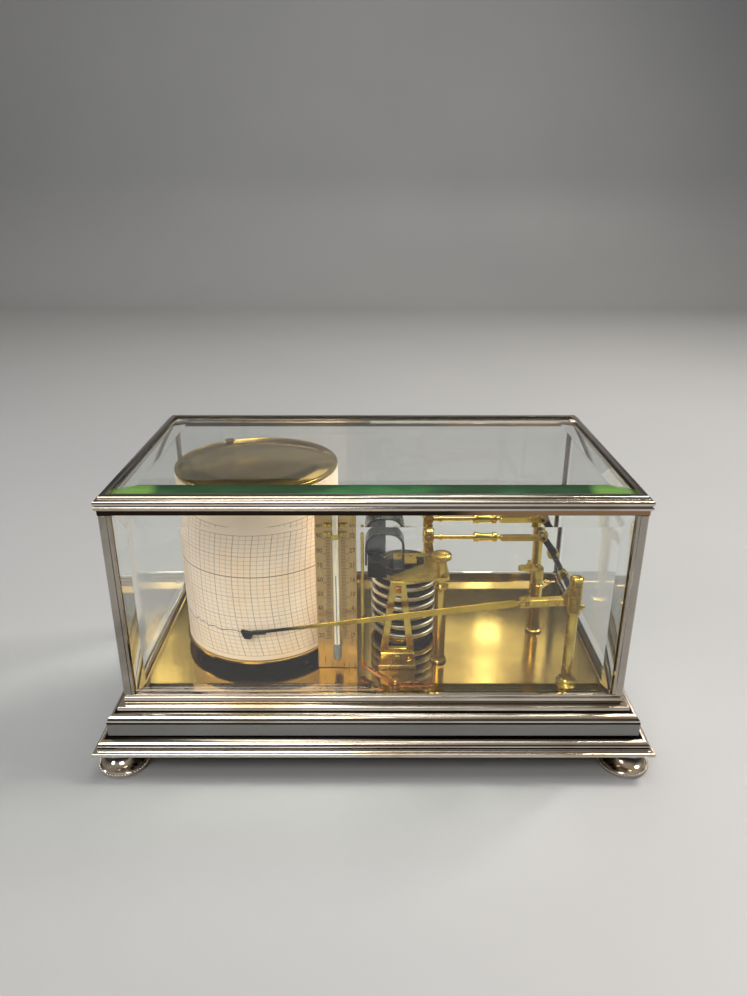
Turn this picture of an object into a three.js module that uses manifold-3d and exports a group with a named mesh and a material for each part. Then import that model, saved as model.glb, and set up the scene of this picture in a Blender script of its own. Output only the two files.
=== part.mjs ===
// A small table barograph: a weekly recording barometer under a bevelled-glass cover.
// Millimetres, +Z up. The origin is on the table under the middle of the instrument.
// The front, where the pen arm runs, faces -Y. The chart drum is on the left, at -X.
import * as THREE from "three";
import { mergeVertices } from "three/addons/utils/BufferGeometryUtils.js";
import Module from "manifold-3d";

const wasm = await Module();
wasm.setup();

// ---- Clearances ----
const seatGap = 0.3; // between two pieces that rest on or against each other
const runGap = 0.3; // around a shaft, pin or stud that turns
const pivotPlay = 0.9; // at the one open pivot of the linkage

// ---- Driving dimensions ----
// Plinth and feet
const plinthWidth = 301;
const plinthHeight = 23;
const plinthWall = 19.5; // from the lip's edge in to the moulding's inner face
const footHeight = 13.7;
const footRadius = 14;
const footInset = 12.5; // foot's axis in from the lip's edges
const studRadius = 2.9;
const studLength = 8.5;
const boardThick = 20;
// Cover
const caseInset = 15.75; // lip's edge in to the outer face of the corner posts
const postSide = 5.8;
const sillHeight = 5.1;
const paneThick = 3;
const paneEdge = 1.4; // thickness left at a pane's edge, outside its bevel
const paneBevel = 6.5;
const lidThick = 4;
const lidEdge = 2;
const lidBevel = 11;
const lidInset = 4.75; // post's outer face in to the lid glass's seat
const lidSeat = 5.6; // height of that seat above the cornice's underside
// Deck
const deckRise = 1.9; // deck's top above the plinth's top
const deckThick = 2.2;
const deckMargin = 0.5; // deck's edge to the inside of the sill
// Drum and clock
const drumRadius = 46.5; // over the chart
const drumHeight = 102;
const drumLift = 6.5; // drum's lower edge above the deck
const drumMargin = 15.25; // drum's side to the inside of the sill
const drumHeadroom = 0.6; // drum's top to the cornice's underside
const drumWall = 1.2;
const drumTopThick = 1.5;
const chartThick = 0.3;
const clipThick = 0.5;
const spindleRadius = 3.3;
const spindleHeight = 44;
const gearModule = 0.8;
const wheelTeeth = 40;
const pinionTeeth = 10;
const gearThick = 2.5;
const gearLift = 2.4; // gears' underside above the deck
const clockRadius = 34;
const clockHeight = 48;
// Pen
const frontRoom = 21.35; // chart to the inside of the front sill
const penGap = 1.5; // chart to the middle of the pen arm
const penHeight = 27; // nib above the deck
const nibOffset = 2.84; // nib's point left of the drum's middle
const armThick = 0.6;
// Thermometer
const scaleWidth = 22.4;
const scaleThick = 2;
const scaleHeight = 102;
const tubeRadius = 1.6;
const scaleSetback = 5.5; // plate's middle back from the chart's front
// Aneroid capsules
const capsuleCount = 7;
const capsuleRadius = 20.5;
const capsulePitch = 6.4;
const stackBaseHeight = 3.1;
const stackOffset = 39.5; // thermometer's middle to the capsules' axis
// Linkage
const arborMargin = 20.95; // pen arbor's axis to the inside of the right sill
const linkRise = 12.9; // bell crank's pivot up to the link
const crankRise = 12; // pen arbor's axis up to the link
const crankLean = 7.5; // how far the pen arbor's crank leans left
const pinRadius = 0.8;
const sleeveLength = 14;

// ---- Places worked out from them ----
const caseWidth = plinthWidth - 2 * caseInset;
const innerHalfX = caseWidth / 2 - postSide;
const innerHalfY = drumRadius + frontRoom;
const caseDepth = 2 * (innerHalfY + postSide);
const plinthDepth = caseDepth + 2 * caseInset;
const plinthTop = footHeight + plinthHeight;
const deckTop = plinthTop + deckRise;
const sillBottom = plinthTop + seatGap;
const postBottom = sillBottom + sillHeight + seatGap;
const corniceBottom = deckTop + drumLift + drumHeight + drumHeadroom;
const postLength = corniceBottom - seatGap - postBottom;
const drumX = -innerHalfX + drumMargin + drumRadius;
const scaleX = drumX + drumRadius + 0.2;
const scaleY = -drumRadius + scaleSetback;
const stackX = scaleX + stackOffset;
const stackTop = seatGap + stackBaseHeight + capsuleCount * capsulePitch;
const capPlate = stackTop + 1.8; // upper face of the plate on top of the capsules
const crankAxis = stackTop + 4.4; // bell crank's axis above the deck
const crankX = stackX + 16;
const linkHeight = crankAxis + linkRise;
const linkY = -3;
const linkLeftX = crankX - 1.9;
const arborX = innerHalfX - arborMargin;
const arborHeight = linkHeight - crankRise;
const linkRightX = arborX - crankLean;
const penY = -drumRadius - penGap;
const nibX = drumX - nibOffset;
const crankPillarY = capsuleRadius + 6.5;

// ---- Finishes ----
function finish(color, roughness, metalness) {
  return { color, roughness, metalness };
}
const nickel = finish(0xd8d4cd, 0.12, 1);
const brass = finish(0xc99b3f, 0.25, 1);
const deckBrass = finish(0xc8a75c, 0.18, 1);
const steel = finish(0x6f7276, 0.3, 1);
const bluedSteel = finish(0x3a3f4a, 0.3, 1);
const blackJapan = finish(0x15140f, 0.35, 0);
const paper = finish(0xe9dfcf, 0.9, 0);
const glass = finish(0xdfeee6, 0.03, 0);
const wood = finish(0x3a2416, 0.7, 0);

// ---- Shape helpers ----
const drumSteps = 48;
const roundSteps = 24;
const smallSteps = 16;

// A closed mesh as a solid for joining and cutting.
function solidOf(geometry) {
  const bare = geometry.index ? geometry.toNonIndexed() : geometry.clone();
  bare.deleteAttribute("normal");
  bare.deleteAttribute("uv");
  const merged = mergeVertices(bare, 1e-3);
  return new wasm.Manifold(
    new wasm.Mesh({
      numProp: 3,
      vertProperties: merged.attributes.position.array,
      triVerts: new Uint32Array(merged.index.array),
    }),
  );
}

function geometryOf(solid) {
  const mesh = solid.getMesh();
  const geometry = new THREE.BufferGeometry();
  geometry.setAttribute("position", new THREE.BufferAttribute(mesh.vertProperties, 3));
  geometry.setIndex(new THREE.BufferAttribute(mesh.triVerts, 1));
  geometry.computeVertexNormals();
  return geometry;
}

function joined(...geometries) {
  return geometryOf(geometries.map(solidOf).reduce((sum, next) => sum.add(next)));
}

function cut(geometry, ...tools) {
  return geometryOf(tools.map(solidOf).reduce((rest, tool) => rest.subtract(tool), solidOf(geometry)));
}

// A profile of [radius, height] turned about Z. It starts and ends on the axis, or closes on itself.
function turned(profile, steps = roundSteps) {
  const points = profile.map(([radius, height]) => new THREE.Vector2(radius, height));
  return new THREE.LatheGeometry(points, steps).rotateX(Math.PI / 2);
}

function block(x0, x1, y0, y1, z0, z1) {
  const box = new THREE.BoxGeometry(x1 - x0, y1 - y0, z1 - z0);
  return box.translate((x0 + x1) / 2, (y0 + y1) / 2, (z0 + z1) / 2);
}

function rodZ(radius, z0, z1, steps = smallSteps) {
  const rod = new THREE.CylinderGeometry(radius, radius, z1 - z0, steps);
  return rod.rotateX(Math.PI / 2).translate(0, 0, (z0 + z1) / 2);
}

function rodY(radius, y0, y1, steps = smallSteps) {
  return new THREE.CylinderGeometry(radius, radius, y1 - y0, steps).translate(0, (y0 + y1) / 2, 0);
}

function rodX(radius, x0, x1, steps = smallSteps) {
  const rod = new THREE.CylinderGeometry(radius, radius, x1 - x0, steps);
  return rod.rotateZ(Math.PI / 2).translate((x0 + x1) / 2, 0, 0);
}

function outline(points) {
  return new THREE.Shape(points.map(([u, v]) => new THREE.Vector2(u, v)));
}

function roundHole(u, v, radius) {
  return new THREE.Path().absarc(u, v, radius, 0, 2 * Math.PI);
}

// A shape drawn in plan, from height z0 to z1.
function flatPlate(shape, z0, z1, curveSegments = 12) {
  const options = { depth: z1 - z0, bevelEnabled: false, curveSegments };
  return new THREE.ExtrudeGeometry(shape, options).translate(0, 0, z0);
}

// A shape drawn as seen from the front, x across and z up, from y0 back to y1.
function uprightPlate(shape, y0, y1, curveSegments = 12) {
  const options = { depth: y1 - y0, bevelEnabled: false, curveSegments };
  return new THREE.ExtrudeGeometry(shape, options).rotateX(Math.PI / 2).translate(0, y1, 0);
}

// A rectangular ring or pane with mitred corners: the profile, of [inset from the rectangle's
// side, height], is turned in four steps, and its corners are then pulled out to the rectangle's.
// An inset of middle is the centre, so such a profile makes a closed pane.
const middle = null;
function fourSided(profile, halfX, halfY) {
  const reach = Math.min(halfX, halfY);
  const points = profile.map(
    ([inset, height]) =>
      new THREE.Vector2(inset === middle ? 0 : (reach - inset) * Math.SQRT2, height),
  );
  const geometry = new THREE.LatheGeometry(points, 4, Math.PI / 4).rotateX(Math.PI / 2);
  const position = geometry.attributes.position;
  for (let i = 0; i < position.count; i++) {
    const x = position.getX(i);
    const y = position.getY(i);
    const offCentre = Math.abs(x) > 1e-6;
    position.setX(i, offCentre ? x + Math.sign(x) * (halfX - reach) : 0);
    position.setY(i, offCentre ? y + Math.sign(y) * (halfY - reach) : 0);
  }
  geometry.computeVertexNormals();
  return geometry;
}

// Points of a quarter-round moulding from [inset, height] a to b, bulging outwards.
function quarterRound([insetA, heightA], [insetB, heightB], steps = 4) {
  return Array.from({ length: steps + 1 }, (_, i) => {
    const turn = (i / steps) * (Math.PI / 2);
    return [
      insetA + (insetB - insetA) * (1 - Math.cos(turn)),
      heightA + (heightB - heightA) * Math.sin(turn),
    ];
  });
}

function piece(parent, name, geometry, look, x = 0, y = 0, z = 0) {
  const mesh = new THREE.Mesh(geometry, new THREE.MeshStandardMaterial(look));
  mesh.name = name;
  mesh.position.set(x, y, z);
  parent.add(mesh);
  return mesh;
}

const corners = [
  ["front_left", -1, -1],
  ["front_right", 1, -1],
  ["back_left", -1, 1],
  ["back_right", 1, 1],
];

// ---- Plinth: a moulded frame round a wooden board, on four levelling feet ----
function plinth() {
  const group = new THREE.Group();
  group.position.z = footHeight;
  const fascia = 7.5;
  const profile = [
    [plinthWall, 0],
    [0, 0],
    [0, 1.6],
    [2.5, 1.6],
    [2.5, 3.6],
    [3.3, 3.6],
    [3.3, 4.3],
    ...quarterRound([2.5, 4.3], [fascia - 0.5, 7.6]),
    [fascia, 7.6],
    [fascia, 16.2],
    ...quarterRound([fascia + 0.5, 16.2], [12, 20.4]),
    [12.5, 20.4],
    [12.5, plinthHeight],
    [plinthWall, plinthHeight],
    [plinthWall, 0],
  ];
  const footX = plinthWidth / 2 - footInset;
  const footY = plinthDepth / 2 - footInset;
  const holes = corners.map(([, sideX, sideY]) =>
    rodZ(studRadius + runGap, -1, studLength + 0.5).translate(sideX * footX, sideY * footY, 0),
  );
  const frame = fourSided(profile, plinthWidth / 2, plinthDepth / 2);
  piece(group, "plinth_moulding", cut(frame, ...holes), nickel);

  const boardTop = plinthHeight + deckRise - deckThick - seatGap;
  const boardX = plinthWidth / 2 - plinthWall - seatGap;
  const boardY = plinthDepth / 2 - plinthWall - seatGap;
  const board = block(-boardX, boardX, -boardY, boardY, boardTop - boardThick, boardTop);
  piece(group, "base_board", board, wood);

  for (const [corner, sideX, sideY] of corners) {
    piece(group, "foot_" + corner, foot(), nickel, sideX * footX, sideY * footY, -footHeight);
  }
  return group;
}

// A levelling foot: a disc for the fingers, dished up to a stem, with a screwed stud above it.
function foot() {
  const shoulder = footHeight - seatGap;
  return turned([
    [0, 0],
    [footRadius - 0.7, 0],
    [footRadius, 0.6],
    [footRadius, 2.3],
    [footRadius - 0.9, 3],
    [9, 4.4],
    [6, 6.8],
    [4.6, 10],
    [4.6, shoulder],
    [studRadius, shoulder],
    [studRadius, footHeight + studLength],
    [0, footHeight + studLength],
  ]);
}

// ---- Cover: sill, four posts, cornice and five bevelled panes, lifted off as one ----
function cover() {
  const group = new THREE.Group();
  const halfX = caseWidth / 2;
  const halfY = caseDepth / 2;
  const sill = [
    [postSide, 0],
    [0, 0],
    [0, 3.6],
    [0.8, 4.2],
    [0.8, sillHeight],
    [postSide, sillHeight],
    [postSide, 0],
  ];
  piece(group, "cover_sill", fourSided(sill, halfX, halfY), nickel, 0, 0, sillBottom);

  const cornice = [
    [postSide, 0],
    [0, 0],
    [0, 2.5],
    [-0.8, 2.9],
    [-0.8, 5],
    [-1.25, 5.5],
    [-1.25, 7.4],
    [0.6, 8.4],
    [1.15, 8.7],
    [1.8, 9.7],
    [lidInset, 9.7],
    [lidInset, lidSeat],
    [postSide, lidSeat],
    [postSide, 0],
  ];
  piece(group, "cover_cornice", fourSided(cornice, halfX, halfY), nickel, 0, 0, corniceBottom);

  const chamfer = 0.8;
  const half = postSide / 2;
  const section = outline([
    [-half, -half + chamfer],
    [-half + chamfer, -half],
    [half, -half],
    [half, half],
    [-half, half],
  ]);
  for (const [corner, sideX, sideY] of corners) {
    const post = piece(group, "post_" + corner, flatPlate(section, 0, postLength), nickel);
    post.position.set(sideX * (halfX - half), sideY * (halfY - half), postBottom);
    post.rotation.z = sideX < 0 ? (sideY < 0 ? 0 : -Math.PI / 2) : sideY < 0 ? Math.PI / 2 : Math.PI;
  }

  const sides = [
    ["front", 0, halfY, innerHalfX],
    ["right", Math.PI / 2, halfX, innerHalfY],
    ["back", Math.PI, halfY, innerHalfX],
    ["left", -Math.PI / 2, halfX, innerHalfY],
  ];
  for (const [side, turn, reach, halfSpan] of sides) {
    const bay = new THREE.Group();
    bay.rotation.z = turn;
    const pane = fourSided(
      [
        [middle, 0],
        [0, 0],
        [0, paneEdge],
        [paneBevel, paneThick],
        [middle, paneThick],
      ],
      halfSpan - seatGap,
      postLength / 2,
    );
    const mesh = piece(bay, "glass_" + side, pane, glass);
    mesh.position.set(0, -reach + half + paneThick / 2, postBottom + postLength / 2);
    mesh.rotation.x = Math.PI / 2;
    group.add(bay);
  }

  const lid = fourSided(
    [
      [middle, 0],
      [0, 0],
      [0, lidEdge],
      [lidBevel, lidThick],
      [middle, lidThick],
    ],
    halfX - lidInset - seatGap,
    halfY - lidInset - seatGap,
  );
  piece(group, "glass_top", lid, glass, 0, 0, corniceBottom + lidSeat + seatGap);
  return group;
}

// ---- Drum: turned by a clock inside it, which walks round a wheel fixed on the spindle ----
function gearShape(teeth, bore) {
  const pitchRadius = (gearModule * teeth) / 2;
  const rootRadius = pitchRadius - gearModule;
  const tipRadius = pitchRadius + 0.75 * gearModule;
  const toothAngle = (2 * Math.PI) / teeth;
  const rootHalf = 0.26;
  const tipHalf = 0.09;
  const points = [];
  for (let tooth = 0; tooth < teeth; tooth++) {
    const corner = (radius, share) => {
      const angle = (tooth + share) * toothAngle;
      return [radius * Math.cos(angle), radius * Math.sin(angle)];
    };
    points.push(corner(rootRadius, -rootHalf), corner(tipRadius, -tipHalf));
    points.push(corner(tipRadius, tipHalf), corner(rootRadius, rootHalf));
  }
  const shape = outline(points);
  if (bore > 0) shape.holes.push(roundHole(0, 0, bore));
  return shape;
}

function drum() {
  const group = new THREE.Group();
  group.position.x = drumX;

  const spindle = turned([
    [0, seatGap],
    [9, seatGap],
    [9, gearLift - seatGap],
    [spindleRadius, gearLift - seatGap],
    [spindleRadius, spindleHeight - 1],
    [spindleRadius - 1, spindleHeight],
    [0, spindleHeight],
  ], smallSteps);
  piece(group, "drum_spindle", spindle, steel);

  const wheel = flatPlate(gearShape(wheelTeeth, spindleRadius + seatGap), 0, gearThick);
  piece(group, "centre_wheel", wheel, brass, 0, 0, gearLift);

  // The pinion stands where the wheel has a tooth, and is turned half a tooth to take it.
  const pinionAngle = (22 * 2 * Math.PI) / wheelTeeth;
  const centres = (gearModule * (wheelTeeth + pinionTeeth)) / 2;
  const stub = rodZ(1.4, gearThick - 0.5, drumLift + 1 - seatGap - gearLift, 12);
  const pinion = joined(flatPlate(gearShape(pinionTeeth, 0), 0, gearThick), stub);
  const pinionMesh = piece(group, "drive_pinion", pinion, steel);
  pinionMesh.position.set(centres * Math.cos(pinionAngle), centres * Math.sin(pinionAngle), gearLift);
  pinionMesh.rotation.z = pinionAngle + Math.PI + Math.PI / pinionTeeth;

  const shellRadius = drumRadius - chartThick - seatGap;
  const inside = shellRadius - drumWall;
  const shell = turned([
    [0, drumHeight - drumTopThick],
    [inside, drumHeight - drumTopThick],
    [inside, 0],
    [drumRadius + 1.4, 0],
    [drumRadius + 1.4, 1.2],
    [shellRadius, 1.2],
    [shellRadius, drumHeight - 1.9],
    [drumRadius, drumHeight - 1.5],
    [drumRadius, drumHeight - 0.5],
    [drumRadius - 0.5, drumHeight],
    [0, drumHeight],
  ], drumSteps);
  piece(group, "drum_shell", shell, brass, 0, 0, drumLift);

  const chartBottom = 1.2 + seatGap;
  const chartTop = drumHeight - 1.9 - seatGap;
  const chart = turned([
    [drumRadius - chartThick, chartBottom],
    [drumRadius, chartBottom],
    [drumRadius, chartTop],
    [drumRadius - chartThick, chartTop],
    [drumRadius - chartThick, chartBottom],
  ], drumSteps);
  piece(group, "drum_chart", chart, paper, 0, 0, drumLift);

  // The clip is a springy strip over the chart's seam, hooked over the drum's rim.
  const clipRadius = drumRadius + seatGap;
  const hookTop = drumHeight + seatGap;
  const clip = uprightPlate(
    outline([
      [clipRadius, chartBottom],
      [clipRadius + clipThick, chartBottom],
      [clipRadius + clipThick, hookTop + clipThick],
      [clipRadius - 5, hookTop + clipThick],
      [clipRadius - 5, hookTop],
      [clipRadius, hookTop],
    ]),
    -2.5,
    2.5,
  );
  const clipMesh = piece(group, "chart_clip", clip, brass, 0, 0, drumLift);
  clipMesh.rotation.z = (2 * Math.PI) / 3;

  // The clock's plate closes the drum from below, and its sleeve runs on the spindle.
  const sleeve = spindleRadius + runGap;
  const plateTop = 3.2;
  const clock = turned([
    [sleeve, 1],
    [inside - seatGap, 1],
    [inside - seatGap, plateTop],
    [clockRadius, plateTop],
    [clockRadius, clockHeight],
    [clockRadius - 1.5, clockHeight],
    [clockRadius - 1.5, plateTop],
    [sleeve + 2, plateTop],
    [sleeve + 2, clockHeight - 6],
    [sleeve, clockHeight - 6],
    [sleeve, 1],
  ]);
  piece(group, "clock_case", clock, brass, 0, 0, drumLift);

  const barrel = turned([
    [0, 0],
    [12.5, 0],
    [12.5, 1],
    [11.5, 1],
    [11.5, 13],
    [12.5, 13],
    [12.5, 14],
    [2, 14],
    [2, 20],
    [0, 20],
  ], smallSteps);
  piece(group, "mainspring_barrel", barrel, brass, 18.5, 0, drumLift + plateTop + seatGap);
  return group;
}

// ---- Thermometer: a scale plate on a foot, with a glass tube held by a clip ----
function thermometer() {
  const group = new THREE.Group();
  group.position.set(scaleX, scaleY, 0);
  const half = scaleWidth / 2;
  const back = scaleThick / 2;
  const arch = 3;
  const shape = outline([
    [-half, seatGap],
    [half, seatGap],
    [half, scaleHeight - arch],
    [half - arch, scaleHeight],
    [-half + arch, scaleHeight],
    [-half, scaleHeight - arch],
  ]);
  piece(group, "thermometer_plate", uprightPlate(shape, -back, back), brass);

  const footShape = outline([
    [back + seatGap, seatGap],
    [back + 8, seatGap],
    [back + 8, 2],
    [back + seatGap + 1.5, 2],
    [back + seatGap + 1.5, 12],
    [back + seatGap, 12],
  ]);
  const footMesh = piece(group, "thermometer_foot", uprightPlate(footShape, -5, 5), brass);
  footMesh.rotation.z = Math.PI / 2;

  const bulb = 2.3;
  const tubeY = -back - bulb - seatGap;
  const tubeTop = scaleHeight - 8;
  const tube = turned([
    [0, 7],
    [1.5, 7.5],
    [bulb, 9.5],
    [bulb, 17],
    [tubeRadius, 19],
    [tubeRadius, tubeTop],
    [0, tubeTop + 1],
  ], 16);
  piece(group, "thermometer_tube", tube, glass, 0, tubeY, 0);

  // The clip is a strap across the tube with a foot on the plate at each side.
  const grip = tubeRadius + seatGap;
  const strap = flatPlate(
    outline([
      [-6, -back - seatGap],
      [-6, -back - seatGap - 0.6],
      [-grip - 0.6, -back - seatGap - 0.6],
      [-grip - 0.6, tubeY - grip - 0.6],
      [grip + 0.6, tubeY - grip - 0.6],
      [grip + 0.6, -back - seatGap - 0.6],
      [6, -back - seatGap - 0.6],
      [6, -back - seatGap],
      [grip, -back - seatGap],
      [grip, tubeY - grip],
      [-grip, tubeY - grip],
      [-grip, -back - seatGap],
    ]),
    0,
    2.4,
  );
  piece(group, "thermometer_clip", strap, brass, 0, 0, scaleHeight - 18);
  return group;
}

// ---- Aneroid stack: capsules on a base, with a plate on top that works the linkage ----
function capsule() {
  const hub = 5;
  const full = capsulePitch - seatGap;
  const mid = full / 2;
  const wall = 2.05;
  const rim = 0.7;
  return turned([
    [0, 0],
    [hub, 0],
    [hub + 0.4, mid - wall],
    [17.6, mid - wall],
    [capsuleRadius - 1.2, mid - rim - 0.5],
    [capsuleRadius, mid - rim],
    [capsuleRadius, mid + rim],
    [capsuleRadius - 1.2, mid + rim + 0.5],
    [17.6, mid + wall],
    [hub + 0.4, mid + wall],
    [hub, full],
    [0, full],
  ]);
}

function aneroid() {
  const group = new THREE.Group();
  group.position.x = stackX;
  const base = turned([
    [0, 0],
    [15, 0],
    [15, 1.4],
    [7, 1.9],
    [5, stackBaseHeight - seatGap],
    [0, stackBaseHeight - seatGap],
  ], smallSteps);
  piece(group, "stack_base", base, brass, 0, 0, seatGap);
  for (let i = 0; i < capsuleCount; i++) {
    const height = seatGap + stackBaseHeight + i * capsulePitch;
    piece(group, "capsule_" + (i + 1), capsule(), steel, 0, 0, height);
  }

  // The plate's arm reaches right, beyond the bell crank's axis, and ends in a stud for its tail.
  const armEnd = crankX - stackX + 7.5;
  const armThickness = 1.4;
  const arm = flatPlate(
    outline([
      [-7, -7],
      [7, -7],
      [7, 2],
      [armEnd - 4.5, 2],
      [armEnd - 4.5, -6],
      [armEnd, -6],
      [armEnd, 7],
      [-7, 7],
    ]),
    capPlate - armThickness,
    capPlate,
  );
  const hub = rodZ(4.5, stackTop, capPlate - 0.2);
  const stud = rodZ(1, capPlate - 0.2, crankAxis - 1 - seatGap, 12).translate(armEnd - 2.2, linkY, 0);
  piece(group, "stack_cap", joined(arm, hub, stud), brass);

  // A springy steel strap arches over the plate from a black block at its left end.
  const strapTop = capPlate + 24;
  const strapBottom = capPlate + seatGap;
  const strapThick = 1.3;
  const left = -24;
  const bend = 9;
  const right = -1;
  const outer = new THREE.Shape();
  outer.moveTo(left, strapBottom + 3);
  outer.lineTo(left, strapTop - bend);
  outer.absarc(left + bend, strapTop - bend, bend, Math.PI, Math.PI / 2, true);
  outer.lineTo(right - bend, strapTop);
  outer.absarc(right - bend, strapTop - bend, bend, Math.PI / 2, 0, true);
  outer.lineTo(right, strapBottom);
  outer.lineTo(right - 6, strapBottom);
  outer.lineTo(right - 6, strapBottom + strapThick);
  outer.lineTo(right - strapThick, strapBottom + strapThick);
  outer.lineTo(right - strapThick, strapTop - bend);
  outer.absarc(right - bend, strapTop - bend, bend - strapThick, 0, Math.PI / 2, false);
  outer.lineTo(left + bend, strapTop - strapThick);
  outer.absarc(left + bend, strapTop - bend, bend - strapThick, Math.PI / 2, Math.PI, false);
  outer.lineTo(left + strapThick, strapBottom + 3);
  // A cheek is folded down from the arch's front edge over its left half, ending above the black block.
  const cheekBottom = strapBottom + 10.2;
  const cheek = uprightPlate(
    outline([
      [left + 1, cheekBottom],
      [left + 12, cheekBottom],
      [left + 12, strapTop - 0.5],
      [left + bend, strapTop - 0.5],
      [left + 1, strapTop - bend],
    ]),
    -17,
    -16.2,
  );
  piece(group, "spring_strap", joined(uprightPlate(outer, -17, -5, 6), cheek), steel);

  const blockBottom = strapBottom - 0.2;
  const blockShape = outline([
    [left + strapThick + seatGap, blockBottom],
    [left + 12.6, blockBottom],
    [left + 12.6, blockBottom + 6],
    [left + 8, blockBottom + 10],
    [left + strapThick + seatGap, blockBottom + 10],
  ]);
  piece(group, "spring_block", uprightPlate(blockShape, -capsuleRadius - 6, -capsuleRadius + 6), blackJapan);
  return group;
}

// ---- Lever frame, bridge and bell crank ----
function bellCrankStand() {
  const group = new THREE.Group();
  const bridgeBottom = crankAxis + 2.2;
  const bridgeTop = bridgeBottom + 2;
  const frameTop = bridgeBottom - seatGap;
  const frameY = -capsuleRadius - 19.5;
  const frameX = stackX - 5.3;

  // The frame is a tall letter A on a foot block.
  const legs = outline([
    [-10.2, 0],
    [10, 0],
    [4, frameTop],
    [-4, frameTop],
  ]);
  const openingBetween = new THREE.Path();
  openingBetween.moveTo(-5.6, 12);
  openingBetween.lineTo(-1.4, frameTop - 8);
  openingBetween.lineTo(1.4, frameTop - 8);
  openingBetween.lineTo(5.4, 12);
  legs.holes.push(openingBetween);
  const frame = joined(
    uprightPlate(legs, -1.5, 1.5).translate(0, 0, seatGap),
    block(-10.8, 10.8, -4, 4, seatGap, 11),
  );
  piece(group, "lever_frame", frame, brass, frameX, frameY);

  // The bridge runs from the frame's head, round the knob pillar, to the bell crank's bearing.
  const pillarX = crankX + 3;
  const pillarY = -capsuleRadius - 13.5;
  const shape = outline([
    [frameX - 4.5, frameY - 3],
    [frameX + 6, frameY - 3],
    [pillarX - 4, pillarY - 4.5],
    [pillarX + 4.5, pillarY - 4.5],
    [pillarX + 4.5, -10],
    [crankX - 5, -10],
    [crankX - 6, -21],
    [frameX - 4.5, frameY + 4],
  ]);
  const neckRadius = 2;
  shape.holes.push(roundHole(pillarX, pillarY, neckRadius + seatGap));
  const lug = cut(
    block(crankX - 3, crankX + 3, -14, -11, crankAxis - 2.6, bridgeBottom + 0.5),
    rodY(1.2, -20, -5, 12).translate(crankX, 0, crankAxis),
  );
  piece(group, "bridge_plate", joined(flatPlate(shape, bridgeBottom, bridgeTop), lug), brass);

  const pillar = turned([
    [0, seatGap],
    [4.6, seatGap],
    [4.6, 2],
    [3.5, 3],
    [3.5, bridgeBottom - 6],
    [4.3, bridgeBottom - 5],
    [4.3, bridgeBottom - 3.6],
    [3.2, bridgeBottom - 2.6],
    [3.6, bridgeBottom - seatGap],
    [neckRadius, bridgeBottom - seatGap],
    [neckRadius, bridgeTop + 0.6],
    [0, bridgeTop + 0.6],
  ], smallSteps);
  piece(group, "knob_pillar", pillar, brass, pillarX, pillarY, 0);

  // The knob is a mushroom-headed screw on top of the pillar.
  const knob = turned([
    [0, 0],
    [2.6, 0],
    [2.6, 4.6],
    [4.4, 5.6],
    [5.5, 7],
    [5.5, 9.6],
    [4.6, 11.4],
    [2.6, 12.4],
    [0, 12.8],
  ], smallSteps);
  piece(group, "adjusting_knob", knob, brass, pillarX, pillarY, bridgeTop + 0.6 + seatGap);

  const rear = turned([
    [0, seatGap],
    [5, seatGap],
    [5, 2],
    [3, 3.4],
    [3, crankAxis + 4],
    [2, crankAxis + 5],
    [0, crankAxis + 5],
  ], smallSteps);
  const rearBearing = rodY(0.9 + runGap, -6, 6, 12).translate(0, 0, crankAxis);
  piece(group, "crank_pillar", cut(rear, rearBearing), brass, crankX, crankPillarY, 0);

  // The bell crank: its arbor runs front to back, one arm stands up to the link, one reaches right.
  const arbor = rodY(0.9, -16, crankPillarY + 4.5, 12);
  const hub = rodY(2.2, linkY - 1.6, linkY + 1.6, 16);
  const pinAt = linkLeftX - crankX;
  const upArm = uprightPlate(
    outline([
      [-1.6, 0],
      [1.6, 0],
      [pinAt + 1.4, linkRise + 0.6],
      [pinAt, linkRise + 1.4],
      [pinAt - 1.4, linkRise + 0.6],
    ]),
    linkY + 0.4,
    linkY + 1.6,
  );
  const tail = block(1, 6.6, linkY - 0.9, linkY + 0.9, -1, 1);
  const pin = rodY(pinRadius, linkY - 1.8, linkY + 1, 12).translate(pinAt, 0, linkRise);
  const crank = joined(arbor, hub, upArm, tail, pin);
  piece(group, "bell_crank", crank, brass, crankX, 0, crankAxis);
  return group;
}

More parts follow.
